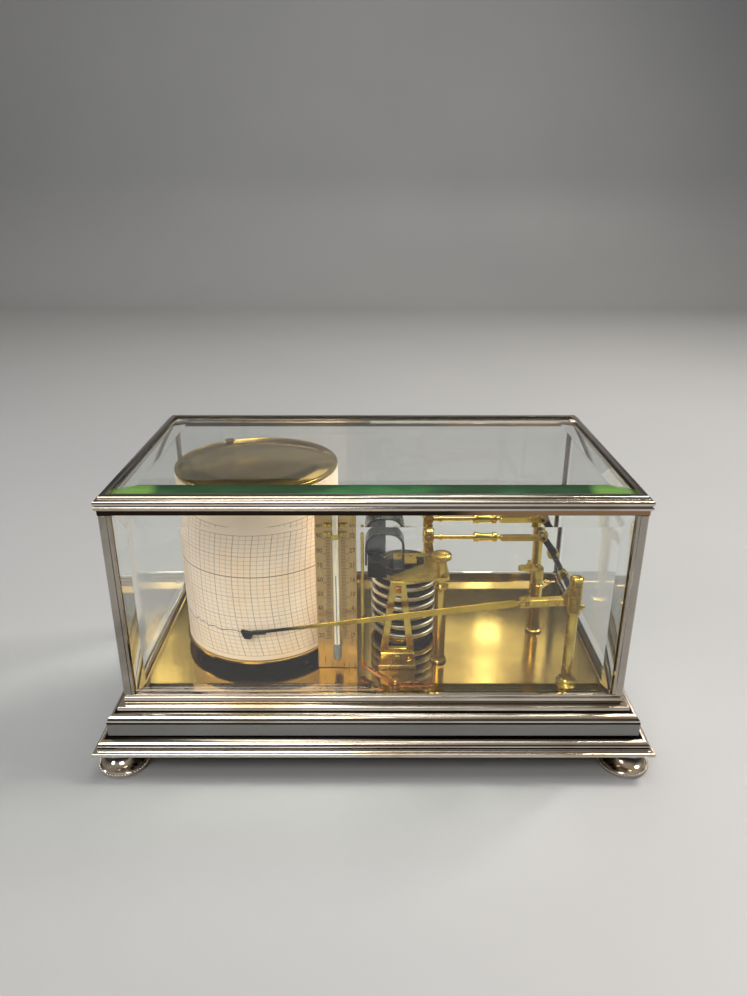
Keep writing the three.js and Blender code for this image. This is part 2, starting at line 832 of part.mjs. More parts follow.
// ---- Link: two halves drawn together by a threaded sleeve ----
function link() {
  const group = new THREE.Group();
  group.position.set(0, linkY, linkHeight);
  const sleeveMid = (linkLeftX + linkRightX) / 2 - 0.5;
  const threadRadius = 1.3;
  const halfGap = 2.5;
  const eye = (x, outside, hole) => {
    const body = rodY(outside, -1.2, 0, 16).translate(x, 0, 0);
    return cut(body, rodY(hole, -4, 4, 16).translate(x, 0, 0));
  };

  const leftEye = eye(linkLeftX, pinRadius + pivotPlay + 1.3, pinRadius + pivotPlay);
  const leftShank = rodX(threadRadius, linkLeftX + pinRadius + pivotPlay + 0.3, sleeveMid - halfGap);
  const leftTie = leftShank.translate(0, -threadRadius * 0.3, 0);
  const rod = cut(joined(leftEye, leftTie), block(linkLeftX - 5, linkLeftX + 5.5, 0, 4, -4, 4));
  piece(group, "link_rod", rod, brass);

  const barFront = -3;
  const barLeft = sleeveMid + sleeveLength / 2 + 1.5;
  const rightHole = pinRadius + runGap;
  const bar = cut(
    joined(
      block(barLeft, linkRightX, barFront, 0, -1.7, 1.7),
      rodY(2.2, barFront, 0, 16).translate(linkRightX, 0, 0),
      rodX(threadRadius, sleeveMid + halfGap, barLeft + 1).translate(0, -threadRadius * 0.3, 0),
    ),
    rodY(rightHole, -6, 6, 16).translate(linkRightX, 0, 0),
  );
  piece(group, "link_bar", bar, brass);

  const sleeve = turned([
    [threadRadius + runGap, -sleeveLength / 2],
    [2.5, -sleeveLength / 2],
    [3, -sleeveLength / 2 + 0.6],
    [3, -sleeveLength / 2 + 2.4],
    [2.4, -sleeveLength / 2 + 3],
    [2.4, sleeveLength / 2 - 3],
    [3, sleeveLength / 2 - 2.4],
    [3, sleeveLength / 2 - 0.6],
    [2.5, sleeveLength / 2],
    [threadRadius + runGap, sleeveLength / 2],
    [threadRadius + runGap, -sleeveLength / 2],
  ], 16);
  const mesh = piece(group, "link_sleeve", sleeve, brass, sleeveMid, -threadRadius * 0.3, 0);
  mesh.rotation.y = Math.PI / 2;
  return group;
}

// ---- Pen arbor, its pillars and the pen arm ----
function penWork() {
  const group = new THREE.Group();
  const shaftRadius = 1.7;
  const frontPillarY = penY - 7;
  const rearPillarY = 38;
  const barrelRadius = 3.8;
  const hole = shaftRadius + runGap;

  const front = turned([
    [0, seatGap],
    [5.6, seatGap],
    [5.6, 1.6],
    [3.2, 3],
    [2.7, arborHeight - 10],
    [barrelRadius, arborHeight - 9],
    [barrelRadius, arborHeight + 12],
    [2.6, arborHeight + 13],
    [0, arborHeight + 13],
  ], smallSteps);
  const frontHole = rodY(hole, -0.6, 8, 16).translate(0, 0, arborHeight);
  piece(group, "arbor_pillar_front", cut(front, frontHole), brass, arborX, frontPillarY, 0);

  const rear = turned([
    [0, seatGap],
    [5.6, seatGap],
    [5.6, 1.6],
    [3.2, 3],
    [3.2, arborHeight + 5],
    [2, arborHeight + 6],
    [0, arborHeight + 6],
  ], smallSteps);
  const rearHole = rodY(hole, -8, 0.6, 16).translate(0, 0, arborHeight);
  piece(group, "arbor_pillar_rear", cut(rear, rearHole), brass, arborX, rearPillarY, 0);

  // The arbor carries a crank, with a pin through the link's right end.
  const crankY0 = linkY + seatGap;
  const crankY1 = crankY0 + 2.4;
  const shaft = rodY(shaftRadius, frontPillarY + seatGap, rearPillarY - seatGap, 16);
  const collar = rodY(3.4, crankY0, crankY1 + 1.6, smallSteps);
  const crankArm = uprightPlate(
    outline([
      [-1.6, -2.6],
      [2.4, 1.4],
      [-crankLean + 1.8, crankRise + 0.8],
      [-crankLean, crankRise + 2.2],
      [-crankLean - 1.8, crankRise - 0.8],
    ]),
    crankY0,
    crankY1,
  );
  const pin = rodY(pinRadius, linkY - 3.6, crankY1 - 0.5, 12).translate(-crankLean, 0, crankRise);
  const arbor = joined(shaft, collar, crankArm, pin);
  piece(group, "pen_arbor", arbor, bluedSteel, arborX, 0, arborHeight);

  // The arm's line runs from the nib up to the block that clamps it on the arbor.
  const slope = (arborHeight - 3.6 - penHeight) / (arborX - nibX);
  const lineAt = (x) => penHeight + slope * (x - nibX);
  const gateX = arborX - 26;
  const gateZ = lineAt(gateX);
  const gatePin = 0.9;
  const jaw = 1.2;
  const tall = 2.3;
  const blockLeft = gateX + 3;
  const clamp = cut(
    joined(
      uprightPlate(
        outline([
          [blockLeft, gateZ - tall],
          [arborX, gateZ - tall + 1.5],
          [arborX + 3.4, arborHeight],
          [arborX, arborHeight + 3.4],
          [arborX - 5, gateZ + tall + 1],
          [blockLeft, gateZ + tall],
        ]),
        penY - 2,
        penY + 2,
      ),
      block(gateX - 2, blockLeft + 1, penY - 2, penY + 2, gateZ + tall - jaw + 0.5, gateZ + tall),
      block(gateX - 2, blockLeft + 1, penY - 2, penY + 2, gateZ - tall, gateZ - tall + jaw - 0.5),
      rodZ(gatePin, gateZ - tall + 0.2, gateZ + tall - 0.2, 12).translate(gateX, penY, 0),
    ),
    rodY(shaftRadius + seatGap, penY - 3, penY + 3, 16).translate(arborX, 0, arborHeight),
  );
  piece(group, "pen_block", clamp, brass);

  // The arm is a thin strip, narrow at the nib, with an eye on the block's pin so that it can leave the chart.
  const eyeHalf = tall - jaw + 0.5 - seatGap;
  // Half the strip's width at five places along it, widest near the block.
  const edge = [
    [nibX + 3, 0.8],
    [nibX + 50, 1.2],
    [gateX - 70, 1.9],
    [gateX - 6, 2.2],
    [gateX - 2.8, eyeHalf],
  ];
  const strip = uprightPlate(
    outline([
      ...edge.map(([x, half]) => [x, lineAt(x) - half]),
      [gateX - 1.6, gateZ - eyeHalf],
      [gateX - 1.6, gateZ + eyeHalf],
      ...edge.map(([x, half]) => [x, lineAt(x) + half]).reverse(),
    ]),
    penY - armThick / 2,
    penY + armThick / 2,
  );
  const knuckle = rodZ(gatePin + 1.2, gateZ - eyeHalf, gateZ + eyeHalf, 16).translate(gateX, penY, 0);
  const bore = rodZ(gatePin + runGap, gateZ - 5, gateZ + 5, 16).translate(gateX, penY, 0);
  piece(group, "pen_arm", cut(joined(strip, knuckle), bore), brass);

  // The nib is a small ink trough. It stands off the chart by the clip, which passes under it.
  const nibBack = -drumRadius - clipThick - 2 * seatGap;
  const nib = uprightPlate(
    outline([
      [nibX - 3.6, penHeight + 2.6],
      [nibX - 1.8, penHeight - 2.2],
      [nibX + 1.6, penHeight - 2.6],
      [nibX + 3 - seatGap, penHeight - 0.8],
      [nibX + 3 - seatGap, penHeight + 1.6],
      [nibX - 0.5, penHeight + 1.2],
    ]),
    nibBack - 3,
    nibBack,
  );
  piece(group, "pen_nib", nib, blackJapan);

  // A pillar stands between the crank and the capsules, with a lug that stops the link's travel.
  const stopX = linkRightX - 0.1;
  const lugHeight = arborHeight - 11;
  const stopPillar = turned([
    [0, seatGap],
    [5, seatGap],
    [5, 1.6],
    [3.2, 3],
    [3.2, lugHeight + 2],
    [0, lugHeight + 2],
  ], smallSteps);
  const lug = block(-12.4, 1, -3, 3, lugHeight, lugHeight + 2);
  const stopScrew = rodZ(1.1, lugHeight - 2, lugHeight + 6, 12).translate(-6, 0, 0);
  piece(group, "stop_pillar", joined(stopPillar, lug, stopScrew), brass, stopX, -1, 0);
  return group;
}

// ---- Pen lifter: a cranked lever whose upright rod pushes the arm off the chart ----
function lifter() {
  const group = new THREE.Group();
  const pivotX = stackX - 7;
  const pivotY = -innerHalfY + 4.3;
  const postRadius = 1.6;
  const rodRadius = 0.9;
  const base = joined(
    block(-16, 20, -3.4, 2.6, seatGap, 1.8),
    rodZ(3, seatGap, 3.4, 16),
    rodZ(postRadius, 1, 7.4, 16),
  );
  piece(group, "lifter_base", base, brass, pivotX, pivotY, 0);

  // The upright rod stands just behind the pen arm at rest.
  const rodX0 = -18;
  const rodY0 = penY + armThick / 2 + seatGap + rodRadius - pivotY;
  const leverLow = 3.4 + seatGap;
  const leverHigh = leverLow + 1.6;
  const long = Math.hypot(rodX0, rodY0);
  const reach = flatPlate(
    outline([
      [0, -1.5],
      [long + 1, -1],
      [long + 1, 1],
      [0, 1.5],
    ]),
    leverLow,
    leverHigh,
  ).rotateZ(Math.atan2(rodY0, rodX0));
  const handle = flatPlate(
    outline([
      [0, -1.6],
      [21, -1.3],
      [21, 1.2],
      [0, 1.6],
    ]),
    leverLow,
    leverHigh,
  );
  const boss = rodZ(3.2, leverLow, leverHigh + 0.8, 16);
  const upright = rodZ(rodRadius, leverLow + 0.2, 88, 12).translate(rodX0, rodY0, 0);
  const bore = rodZ(postRadius + runGap, 0, 9, 16);
  const lever = cut(joined(reach, handle, boss, upright), bore);
  piece(group, "lifter_lever", lever, brass, pivotX, pivotY, 0);
  return group;
}

// ---- The whole instrument ----
const barograph = new THREE.Group();
barograph.add(plinth(), cover());

const deckY = innerHalfY - deckMargin;
const deckX = innerHalfX - deckMargin;
const deck = block(-deckX, deckX, -deckY, deckY, -deckThick, 0);
const movement = new THREE.Group();
movement.position.z = deckTop;
piece(movement, "deck_plate", deck, deckBrass);
movement.add(drum(), thermometer(), aneroid(), bellCrankStand(), link(), penWork(), lifter());
barograph.add(movement);

export default barograph;
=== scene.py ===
"""A small table barograph: polished nickel case, bevelled glass, brass movement and paper chart.

Lengths in this file are in millimetres and become metres only when a mesh is made.
A part of a piece is a pair: its points, and its faces as a list of index arrays.
"""

import math

import bmesh
import bpy
import numpy as np
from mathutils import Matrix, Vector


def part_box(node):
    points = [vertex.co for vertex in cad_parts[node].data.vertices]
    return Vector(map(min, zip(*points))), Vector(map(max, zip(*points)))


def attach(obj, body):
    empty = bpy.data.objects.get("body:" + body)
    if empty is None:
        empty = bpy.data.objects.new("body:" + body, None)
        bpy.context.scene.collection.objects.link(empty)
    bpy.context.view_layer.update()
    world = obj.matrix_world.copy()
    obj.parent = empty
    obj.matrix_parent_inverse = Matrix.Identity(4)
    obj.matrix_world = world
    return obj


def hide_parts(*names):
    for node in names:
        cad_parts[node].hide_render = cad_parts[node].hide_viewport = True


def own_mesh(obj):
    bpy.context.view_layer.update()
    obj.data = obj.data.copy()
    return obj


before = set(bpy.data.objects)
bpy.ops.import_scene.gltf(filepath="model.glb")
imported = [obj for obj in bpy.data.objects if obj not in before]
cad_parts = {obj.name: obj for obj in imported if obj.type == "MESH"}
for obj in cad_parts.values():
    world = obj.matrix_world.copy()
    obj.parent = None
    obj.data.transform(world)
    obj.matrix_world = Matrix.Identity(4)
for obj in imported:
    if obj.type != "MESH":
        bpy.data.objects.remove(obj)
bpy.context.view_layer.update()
MM = 0.001
TURN = 2 * math.pi
CORNERS = ("front_left", "front_right", "back_left", "back_right")


def span(node):
    """Lowest and highest corner of a CAD node, in millimetres."""
    low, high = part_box(node)
    return np.array(low) / MM, np.array(high) / MM


def middle(node):
    """Middle of a CAD node's box, in millimetres."""
    low, high = span(node)
    return (low + high) / 2


# ---- Surfaces ----


def laid(points, along):
    """Points drawn as (across, up, depth) with their depth along z, y or x."""
    return points[..., {"z": (0, 1, 2), "y": (0, 2, 1), "x": (2, 0, 1)}[along]]


def grid(points, closed=(False, False)):
    """Quads between neighbouring rows and columns of points; closed says which way joins up."""
    rows, columns = points.shape[:2]
    i = np.arange(rows if closed[0] else rows - 1)[:, None]
    j = np.arange(columns if closed[1] else columns - 1)[None, :]
    below, beside = (i + 1) % rows, (j + 1) % columns
    corner = (i * columns + j, i * columns + beside, below * columns + beside, below * columns + j)
    return points.reshape(-1, 3), [np.stack(np.broadcast_arrays(*corner), -1).reshape(-1, 4)]


def eased(points, radius, closed=True, steps=3):
    """Corners as small curves: start (1-t)^2 + corner 2t(1-t) + end t^2, for t from 0 to 1."""
    p = np.array(points, float)
    back, ahead = np.roll(p, 1, 0) - p, np.roll(p, -1, 0) - p
    share = [np.minimum(radius / np.linalg.norm(v, axis=1), 0.45)[:, None] for v in (back, ahead)]
    start, end = (p + back * share[0])[:, None], (p + ahead * share[1])[:, None]
    t = np.linspace(0, 1, steps + 1)[None, :, None]
    curve = start * (1 - t) ** 2 + p[:, None] * 2 * t * (1 - t) + end * t**2
    if closed:
        return curve.reshape(-1, 2)
    return np.concatenate([p[:1], curve[1:-1].reshape(-1, 2), p[-1:]])


def arc(centre, radius, start, end, steps=12):
    """centre + radius (cos a, sin a), for a from start to end in degrees."""
    a = np.radians(np.linspace(start, end, steps + 1))
    return np.array(centre) + radius * np.stack([np.cos(a), np.sin(a)], -1)


def inset(outline, amount):
    """The outline moved inwards along the mitre of each corner's two edges."""
    ahead = np.roll(outline, -1, 0) - outline
    area = np.sum(outline[:, 0] * np.roll(outline[:, 1], -1) - np.roll(outline[:, 0], -1) * outline[:, 1])
    ahead /= np.maximum(np.linalg.norm(ahead, axis=1, keepdims=True), 1e-9)
    inward = np.stack([-ahead[:, 1], ahead[:, 0]], -1) * np.sign(area)
    before = np.roll(inward, 1, 0)
    spread = 1 + np.sum(inward * before, axis=1, keepdims=True)
    return outline + amount * (inward + before) / np.maximum(spread, 0.4)


def turned(profile, centre=(0, 0, 0), along="z", steps=96, ribs=0, depth=0.0, ribbed=None):
    """centre + r(s) (cos a, sin a) + h(s) along the axis, where ribbed rows lose depth between ribs."""
    radius, height = np.array(profile, float).T
    a = np.linspace(0, TURN, steps, endpoint=False)
    r = np.repeat(radius[:, None], steps, 1)
    if ribs:
        rows = (height >= ribbed[0]) & (height <= ribbed[1]) & (radius > ribbed[2])
        r = r - depth * rows[:, None] * (0.5 - 0.5 * np.cos(ribs * a))[None]
    points = np.stack([r * np.cos(a), r * np.sin(a), np.repeat(height[:, None], steps, 1)], -1)
    loop = bool(np.allclose(profile[0], profile[-1]))
    points = points[:-1] if loop else points
    return grid(laid(points, along) + np.array(centre, float), (loop, True))


def plate(outline, low, high, along="z", edge=0.2):
    """The outline carried from low to high, drawn in by the edge's width at both faces."""
    outline = np.array(outline, float)
    rows = ((edge, low), (0, low + edge), (0, high - edge), (edge, high))
    loops = [np.insert(inset(outline, gap), 2, depth, axis=1) for gap, depth in rows]
    points, faces = grid(laid(np.array(loops), along), (False, True))
    count = len(outline)
    return points, faces + [np.arange(count)[None], np.arange(3 * count, 4 * count)[None]]


def ring_plate(outer, inner, low, high, along="z", edge=0.2):
    """A plate with an opening: outer edge, top, inner edge and underside as one closed strip."""
    outer, inner = np.array(outer, float), np.array(inner, float)
    rows = [(outer, edge, low), (outer, 0, low + edge), (outer, 0, high - edge), (outer, edge, high)]
    rows += [(inner, -edge, high), (inner, 0, high - edge), (inner, 0, low + edge), (inner, -edge, low)]
    loops = [np.insert(inset(line, gap), 2, depth, axis=1) for line, gap, depth in rows]
    return grid(laid(np.array(loops), along), (True, True))


def rectangle(x0, x1, y0, y1, radius=0.4):
    return eased([[x0, y0], [x1, y0], [x1, y1], [x0, y1]], radius)


def disc(radius, tall, centre, along="z", steps=32):
    """A plain cylinder that stands on its centre."""
    return turned([[0, 0], [radius, 0], [radius, tall], [0, tall]], centre, along, steps)


def tube(inner, outer, low, high, centre, along="z", steps=32):
    """A plain cylinder with a bore."""
    wall = [[inner, low], [outer, low], [outer, high], [inner, high], [inner, low]]
    return turned(wall, centre, along, steps)


def block(x0, x1, y0, y1, z0, z1, edge=0.25):
    """A rectangular block with all its edges eased."""
    return plate(rectangle(x0, x1, y0, y1, edge), z0, z1, edge=edge)


def rod(start, end, radius, steps=32, edge=0.15):
    """start + w(s) d + r(s) (u cos a + v sin a), where u and v stand square to the direction d."""
    start, end = np.array(start, float), np.array(end, float)
    length = np.linalg.norm(end - start)
    d = (end - start) / length
    u = np.cross(d, (0, 0, 1) if abs(d[2]) < 0.9 else (1, 0, 0))
    u /= np.linalg.norm(u)
    v = np.cross(d, u)
    along = [0, 0, edge, length - edge, length, length]
    profile = np.array([[0, radius - edge, radius, radius, radius - edge, 0], along]).T
    a = np.linspace(0, TURN, steps, endpoint=False)
    side = np.cos(a)[:, None] * u + np.sin(a)[:, None] * v
    return grid(start + profile[:, :1, None] * side + profile[:, 1:, None] * d, (False, True))


def mitred(profile, half_x, half_y, base):
    """A frame with mitred corners: (sx (half_x - inset), sy (half_y - inset), base + height)."""
    gap, height = np.array(profile, float).T
    sides = np.array([(-1, -1), (1, -1), (1, 1), (-1, 1)])
    x = sides[:, :1] * (half_x - gap)[None]
    y = sides[:, 1:] * (half_y - gap)[None]
    return grid(np.stack([x, y, np.broadcast_to(base + height, x.shape)], -1), (True, True))


def moved(part, offset):
    return part[0] + np.array(offset, float), part[1]


def spun(part, degrees, about):
    """The part turned about a vertical line through a point."""
    a = math.radians(degrees)
    turn = np.array([[math.cos(a), -math.sin(a), 0], [math.sin(a), math.cos(a), 0], [0, 0, 1]])
    about = np.array([about[0], about[1], 0.0])
    return (part[0] - about) @ turn.T + about, part[1]


def screw(at, radius, along="z", side=1, turn=30, tall=1.2):
    """A slotted head: a disc below, and above it two halves that leave the slot between them."""
    at = np.array(at, float)
    slot = 0.16 * radius + 0.1
    open_angle = math.degrees(math.asin(slot / radius))
    low = turned([[0, 0], [radius, 0], [radius, 0.5 * tall], [0, 0.5 * tall]], steps=32)
    halves = []
    for start in (turn, turn + 180):
        half = arc((0, 0), radius, start + open_angle, start + 180 - open_angle, 14)
        halves.append(plate(half, 0.4 * tall, tall, edge=0.15))
    return [(laid(points * (1, 1, side), along) + at, faces) for points, faces in [low, *halves]]


def facing_out(part):
    """The part with its faces turned round if the volume they enclose is negative."""
    points, faces = part
    volume = 0.0
    for ring in faces:
        corner = points[ring]
        first = np.repeat(corner[:, :1], ring.shape[1] - 2, 1)
        volume += np.sum(first * np.cross(corner[:, 1:-1], corner[:, 2:]))
    return (points, [ring[:, ::-1] for ring in faces]) if volume < 0 else part


def make(name, parts, body, finish, slot, stands_for=(), sharp=32):
    """One mesh object from closed parts, in metres, riding on a body and standing for CAD nodes."""
    points, faces, start = [], [], 0
    for part_points, part_faces in map(facing_out, parts):
        points.append(part_points * MM)
        faces += [ring for block_of in part_faces for ring in (block_of + start).tolist()]
        start += len(part_points)
    mesh = bpy.data.meshes.new(name)
    mesh.from_pydata(np.concatenate(points).tolist(), [], faces)
    shape = bmesh.new()
    shape.from_mesh(mesh)
    bmesh.ops.remove_doubles(shape, verts=shape.verts, dist=2e-8)
    bmesh.ops.dissolve_degenerate(shape, edges=shape.edges, dist=1e-8)
    shape.to_mesh(mesh)
    shape.free()
    mesh.polygons.foreach_set("use_smooth", np.ones(len(mesh.polygons), bool))
    mesh.set_sharp_from_angle(angle=math.radians(sharp))
    mesh.materials.append(finish)
    piece = bpy.data.objects.new(name, mesh)
    bpy.context.scene.collection.objects.link(piece)
    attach(piece, body)
    if stands_for:
        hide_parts(*stands_for)
    return piece


def brass(name, parts, body, *stands_for):
    """A piece of lacquered brass."""
    return make(name, parts, body, BRASS, "lacquered_brass", stands_for)


# ---- Materials ----


def linear(code):
    """An sRGB hex colour as linear red, green and blue."""
    value = np.array([int(code[i : i + 2], 16) for i in (0, 2, 4)]) / 255
    low, high = value / 12.92, ((value + 0.055) / 1.055) ** 2.4
    return [*np.where(value <= 0.04045, low, high).tolist(), 1.0]


def add(tree, kind, inputs=None, **settings):
    """Adds a node, sets its settings, and gives each input a value or a link."""
    node = tree.nodes.new("ShaderNode" + kind)
    for key, value in settings.items():
        setattr(node, key, value)
    for key, value in (inputs or {}).items():
        if isinstance(value, bpy.types.NodeSocket):
            tree.links.new(value, node.inputs[key])
        else:
            node.inputs[key].default_value = value
    return node


def maths(tree, operation, *values):
    return add(tree, "Math", dict(enumerate(values)), operation=operation).outputs[0]


def blended(tree, share, first, second):
    """Colour first where share is 0 and second where it is 1."""
    return add(tree, "Mix", {0: share, 6: first, 7: second}, data_type="RGBA").outputs[2]


def between(tree, value, low, high, start=0.0, end=1.0):
    """value from low to high carried smoothly to start to end."""
    inputs = {"Value": value, 1: low, 2: high, 3: start, 4: end}
    return add(tree, "MapRange", inputs, interpolation_type="SMOOTHSTEP").outputs[0]


def empty_material(name):
    material = bpy.data.materials.new(name)
    material.use_nodes = True
    material.node_tree.nodes.clear()
    return material, material.node_tree, add(material.node_tree, "TexCoord").outputs["Object"]


def speckle(tree, place, size, detail=3.0, stretch=(1, 1, 1)):
    """Noise whose patches are about size millimetres across, longer where stretch is below 1."""
    vector = add(tree, "Mapping", {"Vector": place, "Scale": stretch}).outputs[0]
    inputs = {"Vector": vector, "Scale": 1 / (size * MM), "Detail": detail}
    return add(tree, "TexNoise", inputs).outputs["Fac"]


def finished(material, tree, colour, roughness, height, depth, **shader):
    """The shader of an opaque surface, with its relief of depth millimetres."""
    bump = add(tree, "Bump", {"Height": height, "Strength": 1.0, "Distance": depth * MM})
    inputs = {"Base Color": colour, "Roughness": roughness, "Normal": bump.outputs[0]}
    inputs |= {key.replace("_", " "): value for key, value in shader.items()}
    surface = add(tree, "BsdfPrincipled", inputs)
    add(tree, "OutputMaterial", {"Surface": surface.outputs[0]})
    return material


def metal(name, bright, dull, gloss, patch, marks, grain=(1, 1, 1), depth=0.004, painted_shade_and_tones=None, **shader):
    """A buffed metal: slow patches between a bright and a dull tone, and fine marks along its grain.

    An optional function draws its own colours over the metal's: painted reflection and shade on the two
    mouldings, and a darker nib end on the pen's arm."""
    material, tree, place = empty_material(name)
    cloud = between(tree, speckle(tree, place, patch, 5.0), 0.42, 0.75)
    colour = blended(tree, cloud, linear(bright), linear(dull))
    if painted_shade_and_tones:
        colour = painted_shade_and_tones(tree, place, colour)
    mark = speckle(tree, place, marks, 2.0, grain)
    worn = maths(tree, "MULTIPLY_ADD", cloud, gloss[1] - gloss[0], gloss[0])
    roughness = maths(tree, "MULTIPLY_ADD", mark, 0.05, worn)
    return finished(material, tree, colour, roughness, mark, depth, Metallic=1.0, **shader)


def band(tree, value, low, high, soft):
    """1 between two lengths, falling softly to 0 outside them."""
    rise = between(tree, value, (low - soft) * MM, low * MM)
    return maths(tree, "MULTIPLY", rise, between(tree, value, high * MM, (high + soft) * MM, 1.0, 0.0))


def plinth_tones(tree, place, colour):
    """Painted reflection and shade on the plinth: a duller grey over its flat fascia, and thin black lines
    in the corners beside it.
    """
    height = maths(tree, "SUBTRACT", add(tree, "SeparateXYZ", {0: place}).outputs[2], PLINTH * MM)
    fascia = band(tree, height, 7.9, 16.0, 0.2)
    # Painted reflection: the flat fascia in a duller grey than the rest of the nickel.
    colour = blended(tree, fascia, colour, linear("8B8A88"))
    # Painted shade and dark reflection: thin black lines in the corners of the moulding's steps.
    corners = ((3.4, 4.1), (7.5, 8.1), (15.7, 16.5), (20.3, 20.7))
    for low, high in corners:
        colour = blended(tree, band(tree, height, low, high, 0.25), colour, linear("17130F"))
    return colour


def cornice_tones(tree, place, colour):
    """The cornice's lower fillet in black painted shade, passing to a copper colour on the right, and a dark
    line of painted shade above it.
    """
    split = add(tree, "SeparateXYZ", {0: place})
    height = maths(tree, "SUBTRACT", split.outputs[2], CORNICE * MM)
    to_right = between(tree, split.outputs[0], 35 * MM, 60 * MM)
    # Painted shade: the fillet under the cornice is nearly black, passing to a copper colour at its
    # right-hand end.
    fillet = blended(tree, to_right, linear("2A221C"), linear("9C7C60"))
    colour = blended(tree, band(tree, height, -1, 2.4, 0.2), colour, fillet)
    # Painted shade: a dark line in the groove between the bead and the crown.
    return blended(tree, band(tree, height, 4.85, 5.15, 0.2), colour, linear("2A1F17"))


def ink_stain(tree, place, colour):
    """Dark brown over the nib's end of the arm, with a ragged edge."""
    ragged = speckle(tree, place, 4, 3.0)
    x = maths(tree, "MULTIPLY_ADD", ragged, 10 * MM, add(tree, "SeparateXYZ", {0: place}).outputs[0])
    return blended(tree, between(tree, x, -45 * MM, -22 * MM), linear("1E1713"), colour)


PLINTH = span("plinth_moulding")[0][2]
CORNICE = span("cover_cornice")[0][2]
NICKEL_TONES = ("DDD5CA", "BDB09E")
ALONG_CASE = (0.08, 0.08, 1)
# Nickel plate, buffed to a mirror: warm white, with faint yellowing and hairline polishing marks
# along the case. The marks are drawn 1.5 mm apart, coarser than real ones, so that they show.
NICKEL = metal("polished_nickel_plate", *NICKEL_TONES, (0.06, 0.14), 45, 1.5, ALONG_CASE)
# The posts' nickel: a greyer copy of the case's nickel, painted shade, with its marks running upwards.
POST_NICKEL = metal("post_nickel_plate", "B3ACA2", "857E74", (0.06, 0.16), 30, 1.5, (1, 1, 0.08))
# The two mouldings' nickel: a little less glossy, with painted shade and reflection as darker tones over
# some of their steps.
PLINTH_NICKEL = metal(
    "plinth_nickel_plate", *NICKEL_TONES, (0.12, 0.22), 45, 1.5, ALONG_CASE, painted_shade_and_tones=plinth_tones
)
CORNICE_NICKEL = metal(
    "cornice_nickel_plate", *NICKEL_TONES, (0.1, 0.2), 45, 1.5, ALONG_CASE, painted_shade_and_tones=cornice_tones
)
# Brass, polished and lacquered: deep gold, browner in slow patches.
LACQUER = {"Coat_Weight": 0.25, "Coat_Roughness": 0.1}
BRASS = metal("lacquered_brass", "DFC25A", "A58636", (0.14, 0.3), 14, 0.8, (1, 1, 0.15), 0.005, **LACQUER)
# Brass of the pen's arm, with its grain along the arm and darker towards its nib end.
PEN_BRASS = metal(
    "pen_arm_brass_darker_at_nib", "D8B64A", "9C7C2A", (0.16, 0.3), 14, 0.8, (0.15, 1, 1), 0.005, painted_shade_and_tones=ink_stain
)
# Sheet brass of the deck, mirror polished: paler gold, with long buffing strokes front to back.
DECK_LACQUER = {"Coat_Weight": 0.15, "Coat_Roughness": 0.08}
DECK_BRASS = metal(
    "mirror_polished_deck_brass", "BFA45A", "937B40", (0.06, 0.14), 60, 1.2, (1, 0.06, 1), 0.002,
    **DECK_LACQUER,
)
# Brass of the drum's shell: paler, glossier, and with a fine even grain.
TURNED_BRASS = metal(
    "lathe_turned_brass", "D8BA6C", "B19352", (0.1, 0.2), 30, 0.9, (1, 1, 1), 0.003, Coat_Weight=0.2
)
# Gilding metal of the lifter's lever and the frame's square screw: redder than the brass round it.
GILDING = metal("gilding_metal", "C98A52", "9A5F33", (0.2, 0.34), 10, 0.7, (0.2, 1, 1), 0.005)
# Polished steel of the drum's spindle and the clock's pinion.
STEEL = metal("polished_spring_steel", "B9BBBD", "85888B", (0.14, 0.26), 9, 0.7, (0.15, 1, 1), 0.005)
# Spring steel of the arched strap: dark grey and softly polished.
TEMPERED = metal("tempered_spring_steel", "6F7276", "4A4D51", (0.2, 0.34), 9, 0.7, (0.15, 1, 1), 0.005)
# Blued steel of the arbor: almost black.
BLUED = metal("blued_steel", "55524F", "2C2D33", (0.2, 0.32), 8, 0.6, (1, 0.15, 1), 0.005)


def black_japan():
    """Black enamel with a slight orange peel, for the nib and the block beside the strap."""
    material, tree, place = empty_material("black_japan")
    peel = speckle(tree, place, 0.9, 2.0)
    colour = blended(tree, speckle(tree, place, 6, 4.0), linear("060505"), linear("14110F"))
    roughness = between(tree, peel, 0.3, 0.7, 0.35, 0.55)
    return finished(material, tree, colour, roughness, peel, 0.02, Specular_IOR_Level=0.2)


def stained_wood():
    """Dark stained hardwood under the deck: grain lines along its length, 1.5 mm apart."""
    material, tree, place = empty_material("stained_hardwood")
    figure = speckle(tree, place, 14, 5.0, (0.06, 1, 1))
    pores = speckle(tree, place, 1.5, 3.0, (0.05, 1, 1))
    colour = blended(tree, figure, linear("2B180D"), linear("5A371D"))
    shade = blended(tree, between(tree, pores, 0.5, 0.65), colour, linear("1C0F08"))
    return finished(material, tree, shade, between(tree, pores, 0.3, 0.7, 0.45, 0.65), pores, 0.05)


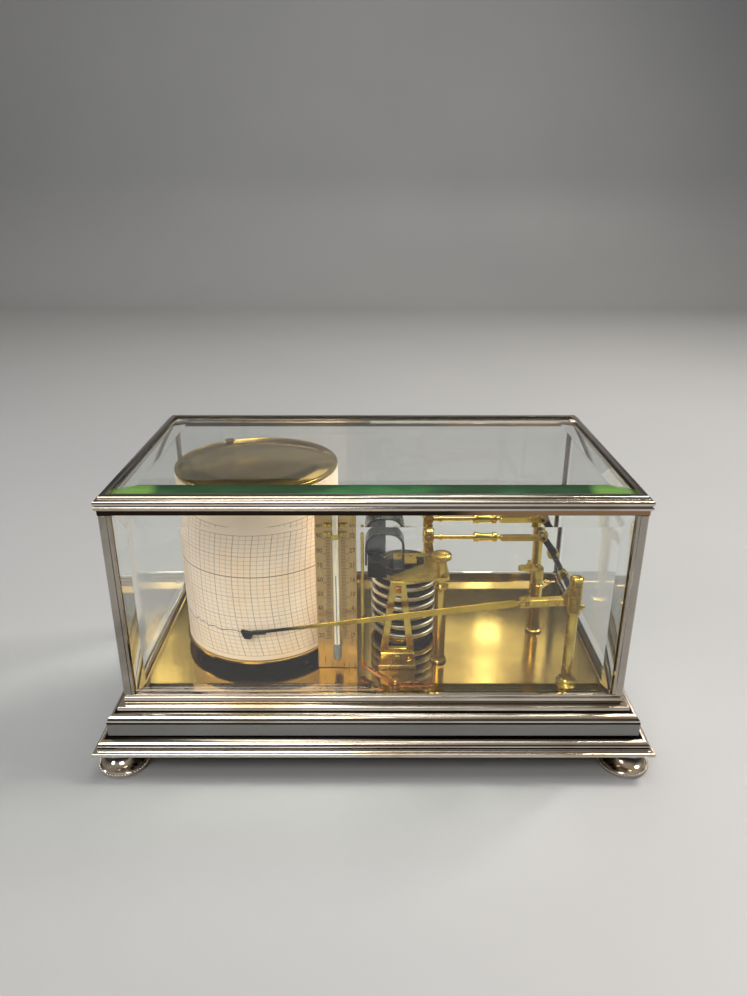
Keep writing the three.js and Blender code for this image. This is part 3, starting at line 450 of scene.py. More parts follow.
def window_glass(name, clear, bevel_ends=None):
    """Old polished plate glass, a little wavy, which lets lamp light through to what it covers.

    Its front bevel, if the bevel's two ends in y are given, is painted green: the pane's own green, and
    painted light that runs inside the thick pane, deep in front and paler towards the sides."""
    material, tree, place = empty_material(name)
    wave = speckle(tree, place, 55, 1.0)
    bump = add(tree, "Bump", {"Height": wave, "Strength": 1.0, "Distance": 0.12 * MM})
    inputs = {"Base Color": linear(clear), "Roughness": 0.0, "IOR": 1.5, "Transmission Weight": 1.0}
    pane = add(tree, "BsdfPrincipled", inputs | {"Normal": bump.outputs[0]})
    if bevel_ends:
        split = add(tree, "SeparateXYZ", {0: place})
        bevel = between(tree, split.outputs[1], bevel_ends[0] * MM, bevel_ends[1] * MM, 1.0, 0.0)
        # Painted light: the green glow from inside the pane, streaked, deep across the front and paler
        # towards its two ends.
        streak = between(tree, speckle(tree, place, 18, 4.0, (0.3, 1, 1)), 0.5, 0.72)
        paler_from, paler_to = 106 * MM, 113 * MM
        side = between(tree, maths(tree, "ABSOLUTE", split.outputs[0]), paler_from, paler_to)
        deep = blended(tree, streak, linear("0B381C"), linear("2C7040"))
        green = blended(tree, side, deep, linear("5C873C"))
        inputs = {"Base Color": green, "Roughness": 0.12, "Coat Weight": 1.0, "Coat Roughness": 0.02}
        depth = add(tree, "BsdfPrincipled", inputs)
        tint = 0.8
        share = maths(tree, "MULTIPLY", bevel, tint)
        pane = add(tree, "MixShader", {0: share, 1: pane.outputs[0], 2: depth.outputs[0]})
    passing = add(tree, "BsdfTransparent", {"Color": linear("FAFCFA")})
    shadow = add(tree, "LightPath").outputs["Is Shadow Ray"]
    mixed = add(tree, "MixShader", {0: shadow, 1: pane.outputs[0], 2: passing.outputs[0]})
    add(tree, "OutputMaterial", {"Surface": mixed.outputs[0]})
    return material


def german_silver():
    """The capsules' metal: bright rims outside a radius of 18.5 mm, and within it nearly black discs,
    painted shade for the gaps between the capsules.
    """
    material, tree, place = empty_material("pressed_german_silver")
    split = add(tree, "SeparateXYZ", {0: place})
    x = maths(tree, "SUBTRACT", split.outputs[0], STACK[0] * MM)
    y = maths(tree, "SUBTRACT", split.outputs[1], STACK[1] * MM)
    square = maths(tree, "ADD", maths(tree, "MULTIPLY", x, x), maths(tree, "MULTIPLY", y, y))
    out = maths(tree, "SQRT", square)
    cloud = speckle(tree, place, 7, 4.0)
    rim = blended(tree, cloud, linear("E8E4DA"), linear("C2BBAC"))
    # Painted shade: the discs are nearly black, standing for the shade between the stacked capsules.
    disc = blended(tree, cloud, linear("1B1815"), linear("3E3831"))
    mark = speckle(tree, place, 0.7, 2.0)
    inside, outside = 18.2 * MM, 18.8 * MM
    colour = blended(tree, between(tree, out, inside, outside), disc, rim)
    roughness = maths(tree, "MULTIPLY_ADD", mark, 0.1, between(tree, out, inside, outside, 0.35, 0.24))
    return finished(material, tree, colour, roughness, mark, 0.006, Metallic=1.0)


JAPAN = black_japan()
WOOD = stained_wood()
GLASS = window_glass("bevelled_plate_glass", "FBFDFB")


def ruled(tree, along, pitch, width):
    """1 on lines of a width, a pitch apart, and 0 between them."""
    off = maths(tree, "PINGPONG", along, pitch * MM / 2)
    return between(tree, off, width * MM * 0.4, width * MM, 1.0, 0.0)


def within(tree, value, low, high):
    """1 where the value lies between two lengths."""
    above = maths(tree, "GREATER_THAN", value, low * MM)
    return maths(tree, "MULTIPLY", above, maths(tree, "LESS_THAN", value, high * MM))


DECK = span("deck_plate")[1][2]
STACK = middle("stack_base")
DRUM = middle("drum_shell")
CHART_LOW, CHART_HIGH = span("drum_chart")
CHART_RADIUS = (CHART_HIGH[0] - CHART_LOW[0]) / 2
ARBOR = middle("pen_arbor") * (1, 0, 0) + (0, 0, DECK + 53.5)
ARBOR[0] = middle("arbor_pillar_front")[0]
NIB = middle("pen_nib")
# Where the nib meets the pen's straight line, the plane and height of the link, and the crank's axis.
NIB_LINE = (DRUM[0] - 2.84, DECK + 27)
LINK_Y = -3.0
LINK_Z = DECK + 65.5
CRANK_Z = DECK + 52.6
# How far the link's two pins stand to the left of the axes they swing round.
CRANK_PIN = 1.9
ARBOR_PIN = 7.5


def chart_paper():
    """Chart paper: cream stock printed in brown, with pressure lines 2.5 mm apart, time arcs at
    two-hour steps of 3.48 mm whose radius is the pen's, and the ink trace up to the nib."""
    material, tree, place = empty_material("printed_chart_paper")
    split = add(tree, "SeparateXYZ", {0: place})
    x = maths(tree, "SUBTRACT", split.outputs[0], DRUM[0] * MM)
    angle = maths(tree, "ARCTAN2", split.outputs[1], x)
    height = maths(tree, "SUBTRACT", split.outputs[2], DECK * MM)
    pen_length = float(np.hypot(ARBOR[0] - NIB[0], ARBOR[2] - NIB[2]))
    rise = maths(tree, "SUBTRACT", height, (ARBOR[2] - DECK) * MM)
    square = maths(tree, "SUBTRACT", (pen_length * MM) ** 2, maths(tree, "MULTIPLY", rise, rise))
    lean = maths(tree, "SUBTRACT", pen_length * MM, maths(tree, "SQRT", square))
    around = maths(tree, "MULTIPLY", angle, CHART_RADIUS * MM)
    time = maths(tree, "SUBTRACT", around, lean)
    hours = TURN * CHART_RADIUS / (7 * 12)
    lowest_line, highest_line, heavy_line = 11, 86, 61
    level = maths(tree, "SUBTRACT", height, lowest_line * MM)
    fine = maths(tree, "MAXIMUM", ruled(tree, level, 2.5, 0.2), ruled(tree, time, hours, 0.22))
    strong = maths(tree, "MAXIMUM", ruled(tree, level, 12.5, 0.24), ruled(tree, time, 3 * hours, 0.3))
    heavy = ruled(tree, maths(tree, "SUBTRACT", height, heavy_line * MM), 200, 0.42)
    lines = maths(tree, "MULTIPLY", fine, 0.42)
    lines = maths(tree, "MAXIMUM", lines, maths(tree, "MULTIPLY", strong, 0.62))
    lines = maths(tree, "MULTIPLY", lines, within(tree, height, lowest_line - 0.1, highest_line + 0.2))
    lines = maths(tree, "MAXIMUM", lines, maths(tree, "MULTIPLY", heavy, 0.85))
    fibre = speckle(tree, place, 0.8, 3.0)
    cloud = between(tree, speckle(tree, place, 26, 4.0), 0.4, 0.8)
    stock = blended(tree, cloud, linear("FAE6D2"), linear("F3D6B4"))
    stock = blended(tree, maths(tree, "MULTIPLY", fibre, 0.2), stock, linear("D9C4A8"))
    printed = blended(tree, lines, stock, linear("5E4430"))
    inputs = {"W": maths(tree, "MULTIPLY", angle, 2.6), "Scale": 1.0, "Detail": 3.0}
    weather = add(tree, "TexNoise", inputs, noise_dimensions="1D")
    drift = maths(tree, "MULTIPLY", maths(tree, "SUBTRACT", weather.outputs["Fac"], 0.5), 16 * MM)
    nib_angle = math.atan2(NIB[1] - DRUM[1], NIB[0] - DRUM[0])
    since = maths(tree, "SUBTRACT", nib_angle, angle)
    settle = between(tree, since, 0.0, 0.6)
    path = maths(tree, "MULTIPLY_ADD", drift, settle, (NIB[2] - DECK) * MM)
    off = maths(tree, "ABSOLUTE", maths(tree, "SUBTRACT", height, path))
    trace = between(tree, off, 0.14 * MM, 0.36 * MM, 0.9, 0.0)
    trace_length = 1.9
    begun = maths(tree, "GREATER_THAN", since, 0.0)
    ended = maths(tree, "LESS_THAN", since, trace_length)
    drawn = maths(tree, "MULTIPLY", begun, ended)
    inked = blended(tree, maths(tree, "MULTIPLY", trace, drawn), printed, linear("2B2440"))
    return finished(material, tree, inked, 0.75, fibre, 0.02)


def scale_brass():
    """The thermometer's brass plate: a soft tan with fine brushing upwards."""
    material, tree, place = empty_material("silvered_scale_brass")
    brush = speckle(tree, place, 0.7, 2.0, (1, 1, 0.03))
    cloud = speckle(tree, place, 16, 4.0)
    colour = blended(tree, cloud, linear("D8BC86"), linear("B08D54"))
    roughness = between(tree, brush, 0.3, 0.7, 0.26, 0.4)
    return finished(material, tree, colour, roughness, brush, 0.01, Metallic=0.8)


def enamelled_tube():
    """Thermometer glass with a white enamel back, and the thin dark thread of mercury up to 62 mm."""
    material, tree, place = empty_material("enamel_backed_glass")
    split = add(tree, "SeparateXYZ", {0: place})
    bulb_top, mercury_top = 18.5, 62
    x0 = middle("thermometer_tube")[0] * MM
    off = maths(tree, "ABSOLUTE", maths(tree, "SUBTRACT", split.outputs[0], x0))
    thread = between(tree, off, 0.15 * MM, 0.4 * MM, 1.0, 0.0)
    top = maths(tree, "LESS_THAN", split.outputs[2], (DECK + mercury_top) * MM)
    thread = maths(tree, "MULTIPLY", thread, top)
    bulb = maths(tree, "LESS_THAN", split.outputs[2], (DECK + bulb_top) * MM)
    enamel = blended(tree, speckle(tree, place, 5, 2.0), linear("F3EEDF"), linear("E4DCC4"))
    filled = blended(tree, maths(tree, "MAXIMUM", thread, bulb), enamel, linear("77797B"))
    ripple = speckle(tree, place, 2.5, 1.0)
    return finished(material, tree, filled, 0.09, ripple, 0.03, Coat_Weight=1.0, Coat_Roughness=0.02)


def engraving():
    """Dark brown filling of the thermometer's figures and divisions."""
    material, tree, place = empty_material("wax_filled_engraving")
    grain = speckle(tree, place, 0.5, 2.0)
    colour = blended(tree, speckle(tree, place, 4, 3.0), linear("2A1C12"), linear("4A3322"))
    return finished(material, tree, colour, between(tree, grain, 0.3, 0.7, 0.5, 0.7), grain, 0.01)


GERMAN_SILVER = german_silver()
PAPER = chart_paper()
SCALE = scale_brass()
TUBE = enamelled_tube()
WAX = engraving()


# ---- Plinth and feet ----


def quarter_round(start, end, steps=10):
    """A quarter-round moulding between two [inset, height] points, bulging outwards."""
    a = np.linspace(0, math.pi / 2, steps + 1)
    start, end = np.array(start, float), np.array(end, float)
    return start + (end - start) * np.stack([1 - np.cos(a), np.sin(a)], -1)


def plinth():
    low, high = span("plinth_moulding")
    tall = high[2] - low[2]
    wall = 19.5
    fascia = 7.5
    profile = [[wall, 0], [0, 0], [0, 1.7], [0.5, 2.1], [2.2, 2.1], [2.5, 2.4], [2.5, 3.5], [3.3, 3.7]]
    profile += [[3.3, 4.3]]
    profile += [*quarter_round((2.5, 4.3), (fascia - 0.4, 7.6)), [fascia, 7.7], [fascia, 16.0]]
    profile += [[fascia - 0.3, 16.2], *quarter_round((fascia + 0.2, 16.4), (11.8, 20.3))]
    profile += [[12.1, 20.5], [12.5, 20.5], [12.5, tall - 0.5], [12.9, tall], [wall, tall]]
    part = mitred(eased(profile, 0.22, steps=2), high[0], high[1], low[2])
    make("plinth_mouldings", [part], "base", PLINTH_NICKEL, "polished_nickel", ["plinth_moulding"], sharp=40)


def feet():
    """Levelling feet: a beaded disc coved up to its stem, with the screwed stud above."""
    for corner in CORNERS:
        low, high = span("foot_" + corner)
        radius = (high[0] - low[0]) / 2
        rim = [[radius - 1.2, 0], [radius - 0.8, 0.3], [radius - 0.8, 2.2], [radius - 1.4, 2.6]]
        cove = [[radius - 1.9, 2.85]]
        a = np.radians(np.linspace(0, 90, 15))
        bowl = np.stack([radius - 2.2 - 7.2 * np.sin(a), 2.8 + 6.9 * (1 - np.cos(a))], -1)
        stem = [[4.6, 9.9], [4.6, 11.4], [5.2, 11.7], [5.2, 13.2], [4.9, 13.4], [2.9, 13.4]]
        turns = np.linspace(13.6, high[2] - 0.4, 22)
        thread = np.stack([2.9 - 0.35 * (np.arange(22) % 2), turns], -1)
        sole = [[0, 0.6], [3, 0.6], [3.4, 0], [6, 0]]
        profile = np.concatenate([sole, rim, cove, bowl, stem, thread, [[0, high[2]]]])
        centre = middle("foot_" + corner) * (1, 1, 0)
        parts = [turned(profile, centre, steps=128)]
        half_turn = np.linspace(0, math.pi, 7)
        ball = 0.78 * np.stack([np.sin(half_turn), -np.cos(half_turn)], -1)
        beads_at = radius - 0.8
        for a in np.linspace(0, TURN, 50, endpoint=False):
            at = centre + (beads_at * math.cos(a), beads_at * math.sin(a), 1.9)
            parts.append(turned(ball, at, steps=10))
        node = "foot_" + corner
        make("levelling_foot_" + corner, parts, node, NICKEL, "polished_nickel", [node])


# ---- Cover ----


def cover_frames():
    low, high = span("cover_sill")
    side = 5.8
    sill = [[side, 0], [0.1, 0], [0, 0.3], [0, 3.2], [0.35, 3.7], [0.9, 4.0], [0.9, 4.9], [1.2, 5.1]]
    sill += [[side, 5.1]]
    sill = eased(sill, 0.2, steps=2)
    part = mitred(sill, high[0], high[1], low[2])
    make("cover_sill_frame", [part], "cover", NICKEL, "polished_nickel", ["cover_sill"], sharp=40)

    low, high = span("cover_cornice")
    proud = 1.25
    bead = [[-0.5 - 0.65 * math.sin(a), 3.75 - 1.0 * math.cos(a)] for a in np.linspace(0, math.pi, 9)]
    crown = [[-0.5 - 0.75 * math.sin(a), 6.35 - 1.35 * math.cos(a)] for a in np.linspace(0, math.pi, 11)]
    profile = [[side, 0], [0, 0], [0, 2.5], [-0.5, 2.6], *bead, [-0.2, 4.9], *crown, [0.1, 7.9], [0.5, 8.1]]
    profile += [*quarter_round((0.9, 8.3), (1.9, 9.6), 6), [2.2, 9.7], [4.75, 9.7], [4.75, 5.6], [side, 5.6]]
    cornice = mitred(eased(profile, 0.12, steps=2), high[0] - proud, high[1] - proud, low[2])
    look = (CORNICE_NICKEL, "polished_nickel")
    make("cover_cornice_frame", [cornice], "cover", *look, ["cover_cornice"], sharp=40)


def cover_posts():
    """Corner posts: an outer edge taken off, and a fine rebate beside each pane."""
    for corner in CORNERS:
        low, high = span("post_" + corner)
        centre = (low + high) / 2
        half = (high[0] - low[0]) / 2
        line = [[-half, -half + 0.9], [-half + 0.9, -half], [half - 1.7, -half], [half - 1.5, -half + 0.5]]
        line += [[half, -half + 0.5], [half, half], [-half + 0.5, half], [-half + 0.5, half - 1.5]]
        line += [[-half, half - 1.7]]
        turn = {(-1, -1): 0, (1, -1): 90, (1, 1): 180, (-1, 1): 270}[tuple(np.sign(centre[:2]).astype(int))]
        part = plate(eased(line, 0.18, steps=2), low[2], high[2], edge=0.15)
        part = moved(spun(part, turn, (0, 0)), (centre[0], centre[1], 0))
        make("corner_post_" + corner, [part], "cover", POST_NICKEL, "polished_nickel", ["post_" + corner])


# ---- Drum ----


def drum():
    low, high = span("drum_shell")
    tall = high[2] - low[2]
    flange = (high[0] - low[0]) / 2
    shell = CHART_RADIUS - 0.6
    inside = shell - 1.2
    profile = [[0, tall - 1.5], [inside, tall - 1.5], [inside, 0], [flange - 0.2, 0], [flange, 0.12]]
    profile += [[flange, 0.42]]
    profile += [[flange - 0.35, 0.55], [flange - 0.35, 0.65], [flange, 0.78], [flange, 1.08]]
    profile += [[flange - 0.2, 1.2]]
    profile += [[shell, 1.2], [shell, tall - 1.9], [CHART_RADIUS - 0.1, tall - 1.7]]
    profile += [[CHART_RADIUS, tall - 1.5]]
    rim = arc((CHART_RADIUS - 0.7, tall - 0.7), 0.7, 0, 90, 8)
    profile += [*rim, [CHART_RADIUS - 1.6, tall], [CHART_RADIUS - 1.9, tall - 0.25]]
    profile += [[CHART_RADIUS - 2.4, tall - 0.25]]
    profile += [[CHART_RADIUS - 2.7, tall - 0.1], [30, tall - 0.12], [12, tall - 0.16], [0, tall - 0.16]]
    part = turned(profile, (DRUM[0], DRUM[1], low[2]), steps=256)
    make("chart_drum", [part], "drum", TURNED_BRASS, "lacquered_brass", ["drum_shell"])

    paper = 0.3
    ends = (CHART_LOW[2], CHART_HIGH[2])
    part = tube(CHART_RADIUS - paper, CHART_RADIUS, *ends, (DRUM[0], DRUM[1], 0), steps=256)
    make("paper_chart", [part], "drum", PAPER, "chart_paper", ["drum_chart"])


# ---- Thermometer ----


def thermometer():
    low, high = span("thermometer_plate")
    x0 = (low[0] + high[0]) / 2
    front = low[1]
    half = (high[0] - low[0]) / 2
    corner = 3.0
    left, right = x0 - half, x0 + half
    line = [[left, low[2]], [right, low[2]], [right, high[2] - corner], [right - corner, high[2]]]
    line += [[left + corner, high[2]], [left, high[2] - corner]]
    part = plate(eased(line, 0.8), low[1], high[1], "y", 0.3)
    make("thermometer_scale", [part], "base", SCALE, "lacquered_brass", ["thermometer_plate"])

    tube_low, tube_high = span("thermometer_tube")
    centre = middle("thermometer_tube")
    bulb = (tube_high[0] - tube_low[0]) / 2
    a = np.linspace(0, math.pi / 2, 9)
    bottom = tube_low[2]
    stem = 1.6
    end = np.stack([bulb * np.sin(a), bottom + bulb * 1.3 * (1 - np.cos(a))], -1)
    neck = [[bulb, bottom + 9], [bulb - 0.15, bottom + 10], [1.75, bottom + 11.6], [stem, bottom + 12.4]]
    cap = np.stack([stem * np.cos(a), tube_high[2] - 1.2 + 1.2 * np.sin(a)], -1)
    part = turned(np.concatenate([end, neck, cap]), (centre[0], centre[1], 0), steps=48)
    make("thermometer_glass", [part], "base", TUBE, "clear_glass", ["thermometer_tube"])

    clip_low, clip_high = span("thermometer_clip")
    wrap = stem + 0.3
    sheet = 0.6
    tube_y = centre[1]
    outer = arc((x0, tube_y), wrap + sheet, 180, 360, 16)
    inner = arc((x0, tube_y), wrap, 360, 180, 16)
    back = clip_high[1]
    face = back - sheet
    line = [[x0 - 6, back], [x0 - 6, face], [x0 - wrap - sheet, face], *outer, [x0 + wrap + sheet, face]]
    line += [[x0 + 6, face], [x0 + 6, back], [x0 + wrap, back], *inner, [x0 - wrap, back]]
    parts = [plate(line, clip_low[2], clip_high[2], edge=0.1)]
    for side in (-1, 1):
        at = (x0 + side * 4.4, face, (clip_low[2] + clip_high[2]) / 2)
        parts += screw(at, 0.9, "y", -1, 40 * side, 0.5)
    brass("tube_clip", parts, "base", "thermometer_clip")

    marks = []
    degree = 8.9 / 10
    first = 20.0
    for i in range(76):
        reach = 4.4 if i % 10 == 0 else 3.4 if i % 5 == 0 else 2.4
        z = DECK + first + i * degree
        for side in (-1, 1):
            ends = sorted((x0 + side * 3.0, x0 + side * (3.0 + reach)))
            mark = rectangle(*ends, z - 0.12, z + 0.12, 0.05)
            marks.append(plate(mark, front - 0.06, front + 0.02, "y", 0.02))
    make("scale_divisions", marks, "base", WAX, "black_japan")

    figures = []
    for i in range(8):
        for side, value in ((-1, 20 + 10 * i), (1, round((10 * i - 12) / 1.8))):
            curve = bpy.data.curves.new("figure", "FONT")
            curve.body = str(value)
            curve.size = 4.0
            curve.align_x = "CENTER"
            curve.align_y = "CENTER"
            curve.extrude = 0.04
            curve.resolution_u = 3
            text = bpy.data.objects.new("figure", curve)
            bpy.context.scene.collection.objects.link(text)
            bpy.context.view_layer.update()
            evaluated = text.evaluated_get(bpy.context.evaluated_depsgraph_get())
            mesh = bpy.data.meshes.new_from_object(evaluated)
            points = np.zeros(len(mesh.vertices) * 3)
            mesh.vertices.foreach_get("co", points)
            points = points.reshape(-1, 3) * (0.82, 1, 1)
            at = (x0 + side * 8.9, front - 0.04, DECK + first + 10 * i * degree + 1.9)
            faces = [np.array([list(face.vertices)]) for face in mesh.polygons]
            figures.append((laid(points * (1, 1, -1), "y") + at, faces))
            bpy.data.objects.remove(text)
            bpy.data.curves.remove(curve)
            bpy.data.meshes.remove(mesh)
    make("scale_figures", figures, "base", WAX, "black_japan")


# ---- Aneroid stack ----


def capsules():
    """Corrugated capsules: rings of a cosine wave between the hub and the rim."""
    for i in range(1, 8):
        low, high = span(f"capsule_{i}")
        centre = middle(f"capsule_{i}")
        edge = (high[0] - low[0]) / 2
        half = (high[2] - low[2]) / 2
        first, last, pitch = 6.2, 18.4, 3.05
        r = np.linspace(first, last, 44)
        crest = 1.35 + 0.3 * np.cos((r - first) * TURN / pitch)
        upper = np.stack([r[::-1], crest[::-1]], -1)
        lip = [[edge - 1.7, 1.35], [edge - 0.9, 1.3], *arc((edge - 0.9, 0.4), 0.9, 90, 0, 5)]
        rim = [*lip, *(np.array(lip[::-1]) * (1, -1))]
        hub = [[5.2, 1.9], [5.0, half], [0, half]]
        under = [[0, -half], [5.0, -half], [5.2, -1.9]]
        profile = np.concatenate([under, upper[::-1] * (1, -1), rim, upper, hub])
        part = turned(profile, centre, steps=128)
        name = f"aneroid_capsule_{i}"
        piece = make(name, [part], "base", GERMAN_SILVER, "bright_steel", [f"capsule_{i}"], sharp=50)
        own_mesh(piece)


def stack_ends():
    low, high = span("stack_base")
    radius = (high[0] - low[0]) / 2
    tall = high[2] - low[2]
    profile = [[0, 0], [radius, 0], [radius, 1.2], [radius - 0.3, 1.5], [9, 1.5], [7, 2.1], [5, tall]]
    profile += [[0, tall]]
    parts = [turned(eased(profile, 0.25, closed=False), (STACK[0], STACK[1], low[2]), steps=96)]
    for a in (40, 160, 280):
        x, y = STACK[0] + 12 * math.cos(math.radians(a)), STACK[1] + 12 * math.sin(math.radians(a))
        parts += screw((x, y, low[2] + 1.5), 1.5, turn=a, tall=0.9)
    brass("stack_foot", parts, "base", "stack_base")

    low, high = span("stack_cap")
    x0, y0 = STACK[0], STACK[1]
    top = DECK + 50.0
    end = high[0]
    line = [[x0 - 7, y0 - 7], [x0 + 7, y0 - 7], [x0 + 7, y0 + 2], [end - 4.5, y0 + 2], [end - 4.5, y0 - 6]]
    line += [[end, y0 - 6], [end, y0 + 7], [x0 - 7, y0 + 7]]
    stud = end - 2.2
    parts = [
        plate(eased(line, 1.0), top - 1.4, top),
        rod((x0, y0, low[2]), (x0, y0, top - 0.7), 4.5, 48),
        rod((stud, -3, top - 0.5), (stud, -3, high[2]), 1.0),
        *screw((x0 + 3.5, y0 + 4, top), 1.3, turn=70, tall=0.8),
        *screw((x0 - 3.5, y0 + 4.4, top), 1.3, turn=10, tall=0.8),
    ]
    brass("stack_cap_plate", parts, "stack_top", "stack_cap")


def spring_parts():
    """The arched strap: a band of even thickness, bent twice and turned in at its foot, and its cheek."""
    low, high = span("spring_strap")
    thick = 1.3
    bend = 9.0
    left, right, top = low[0], high[0], high[2]
    bottom = low[2]
    left_bend, right_bend = (left + bend, top - bend), (right - bend, top - bend)
    outer = [[left, bottom + 3], *arc(left_bend, bend, 180, 90), *arc(right_bend, bend, 90, 0)]
    outer += [*arc((right - 1.5, bottom + 1.5), 1.5, 0, -90, 6), [right - 6, bottom]]
    inner = [[right - 6, bottom + thick], [right - thick - 0.4, bottom + thick]]
    inner += [[right - thick, bottom + thick + 0.4], *arc(right_bend, bend - thick, 0, 90)]
    inner += [*arc(left_bend, bend - thick, 90, 180), [left + thick, bottom + 3]]
    strap = plate([*outer, *inner], low[1], high[1], "y", 0.12)
    # The lower disc of a screw's head, so that it has no slot.
    head = screw((left + 0.3, (low[1] + high[1]) / 2 - 2.5, bottom + 7), 1.0, "x", -1, 20, 0.3)[0]
    cheek = [[left + 1, bottom + 10.2], [left + 12, bottom + 10.2], [left + 12, top - 0.4]]
    cheek += [[left + bend, top - 0.4]]
    cheek += [*arc(left_bend, bend - 0.4, 95, 178, 8)]
    face = plate(eased(cheek, 0.3), low[1], low[1] + 0.8, "y", 0.12)
    make("arched_spring", [strap, face, head], "stack_top", TEMPERED, "bright_steel", ["spring_strap"])

    low, high = span("spring_block")
    line = [[low[0], low[2]], [high[0], low[2]], [high[0], high[2] - 4], [high[0] - 4.6, high[2]]]
    line += [[low[0], high[2]]]
    parts = [plate(eased(line, 0.6), low[1], high[1], "y", 0.5)]
    make("spring_anchor_block", parts, "stack_top", JAPAN, "black_japan", ["spring_block"])


# ---- Lever frame, bridge, knob and bell crank ----


def lever_frame():
    low, high = span("lever_frame")
    x0, y0 = (low[0] + high[0]) / 2, (low[1] + high[1]) / 2
    base, top = low[2], high[2]
    tall = top - base
    outer = [[x0 - 10, base + 9], [x0 + 10, base + 9], [x0 + 4.2, top], [x0 - 4.2, top]]
    inner = [[x0 - 5.4, base + 12.5], [x0 + 5.4, base + 12.5], [x0 + 1.5, top - 8], [x0 - 1.5, top - 8]]
    parts = [
        ring_plate(eased(outer, 0.8), eased(inner, 0.8), y0 - 1.5, y0 + 1.5, "y", 0.25),
        block(x0 - 10.8, x0 + 10.8, y0 - 4, y0 + 4, base, base + 2.6),
        block(x0 - 9.6, x0 + 9.6, y0 - 3.4, y0 + 3.4, base + 2.2, base + 10.7, 0.5),
        rod((x0, y0 - 3.95, base + 6.5), (x0, y0 + 3.9, base + 6.5), 2.6, 40, 0.3),
        *screw((x0 - 6.6, y0 - 3.3, base + 6.4), 1.3, "y", -1, 65, 0.6),
        *screw((x0 + 6.6, y0 - 3.3, base + 6.4), 1.3, "y", -1, 20, 0.6),
    ]
    brass("a_frame", parts, "base", "lever_frame")
    square = block(x0 - 1.7, x0 + 1.7, y0 - 2.9, y0 - 1.4, base + tall - 5.4, base + tall - 2.0, 0.35)
    stud = [[0, 0], [1.0, 0], [1.0, 0.7], [0.7, 0.9], [0, 0.9]]
    nut = turned(stud, (x0, y0 - 3.7, base + tall - 3.7), "y", 24)
    make("frame_square_screw", [square, nut], "base", GILDING, "lacquered_brass")


def bridge():
    bottom = span("bridge_plate")[1][2] - 2
    frame_at = middle("lever_frame")
    crank = middle("crank_pillar")[0]
    pillar = middle("knob_pillar")
    fx, fy = frame_at[0], frame_at[1]
    px, py = pillar[0], pillar[1]
    line = [[fx - 4.5, fy - 3], [fx + 6, fy - 3], [px - 4, py - 4.5], [px + 4.5, py - 4.5], [px + 4.5, -10]]
    line += [[crank - 5, -10], [crank - 6, -21], [fx - 4.5, fy + 4]]
    lug = [[crank - 3, bottom + 0.3], [crank + 3, bottom + 0.3], [crank + 3, CRANK_Z]]
    lug += [*arc((crank, CRANK_Z), 2.9, 0, -180, 10)]
    parts = [
        plate(eased(line, 1.6), bottom, bottom + 2, edge=0.3),
        plate(lug, -14, -11, "y", 0.2),
        *screw((fx - 0.5, fy + 0.5, bottom + 2), 1.9, turn=25, tall=1.1),
        *screw((crank + 2, -13.5, bottom + 2), 1.2, turn=80, tall=0.8),
    ]
    brass("bridge", parts, "base", "bridge_plate")


def pillar_profile(height, shaft, foot, collar=None):
    """A turned pillar: a foot with an ogee, a plain shaft, and a rounded top."""
    profile = [[0, 0], [foot, 0], [foot, 1.0], [foot - 0.3, 1.3], [foot - 1.0, 1.5], [shaft + 0.7, 2.2]]
    profile += [[shaft + 0.15, 3.2], [shaft, 4.2]]
    if collar:
        at, wide, tall = collar
        profile += [[shaft, at], [wide, at + 0.4], [wide, at + tall - 0.4], [shaft, at + tall]]
    return [*profile, [shaft, height - 1.0], [shaft - 0.3, height - 0.4], [shaft - 0.9, height], [0, height]]


def knob_and_pillars():
    low, high = span("knob_pillar")
    x, y = middle("knob_pillar")[:2]
    under = span("bridge_plate")[1][2] - 2 - low[2]
    profile = [[0, 0], [4.6, 0], [4.6, 1.2], [4.2, 1.6], [3.9, 2.4], [3.5, 3.2], [3.5, under - 6.2]]
    profile += [[4.3, under - 5.6]]
    profile += [[4.3, under - 4.2], [3.4, under - 3.4], [3.2, under - 2.8], [3.6, under - 2.0]]
    profile += [[3.6, under - 0.3]]
    tall = high[2] - low[2]
    profile += [[2, under - 0.3], [2, tall], [0, tall]]
    part = turned(eased(profile, 0.3, closed=False), (x, y, low[2]), steps=64)
    brass("turned_knob_pillar", [part], "base", "knob_pillar")

    low, high = span("adjusting_knob")
    radius = (high[0] - low[0]) / 2
    profile = [[0, 0], [2.4, 0], [2.4, 7.2], [2.9, 7.9], [4.0, 8.5], [radius - 0.3, 9.2], [radius, 9.5]]
    profile += [[radius, z] for z in np.linspace(9.8, 11.2, 4)]
    profile += [[radius, 11.5], [radius - 0.3, 11.9], [radius - 1.2, 12.3], [radius - 3, 12.6], [0, 12.8]]
    part = turned(profile, (x, y, low[2]), steps=240, ribs=40, depth=0.3, ribbed=(9.7, 11.3, radius - 0.2))
    brass("milled_knob", [part], "adjusting_knob", "adjusting_knob")

    low, high = span("crank_pillar")
    x, y = middle("crank_pillar")[:2]
    axis = 52.3
    profile = pillar_profile(high[2] - low[2], 3.0, 5.0, (axis - 4.5, 3.7, 9))
    part = turned(profile, (x, y, low[2]), steps=64)
    brass("rear_crank_pillar", [part], "base", "crank_pillar")


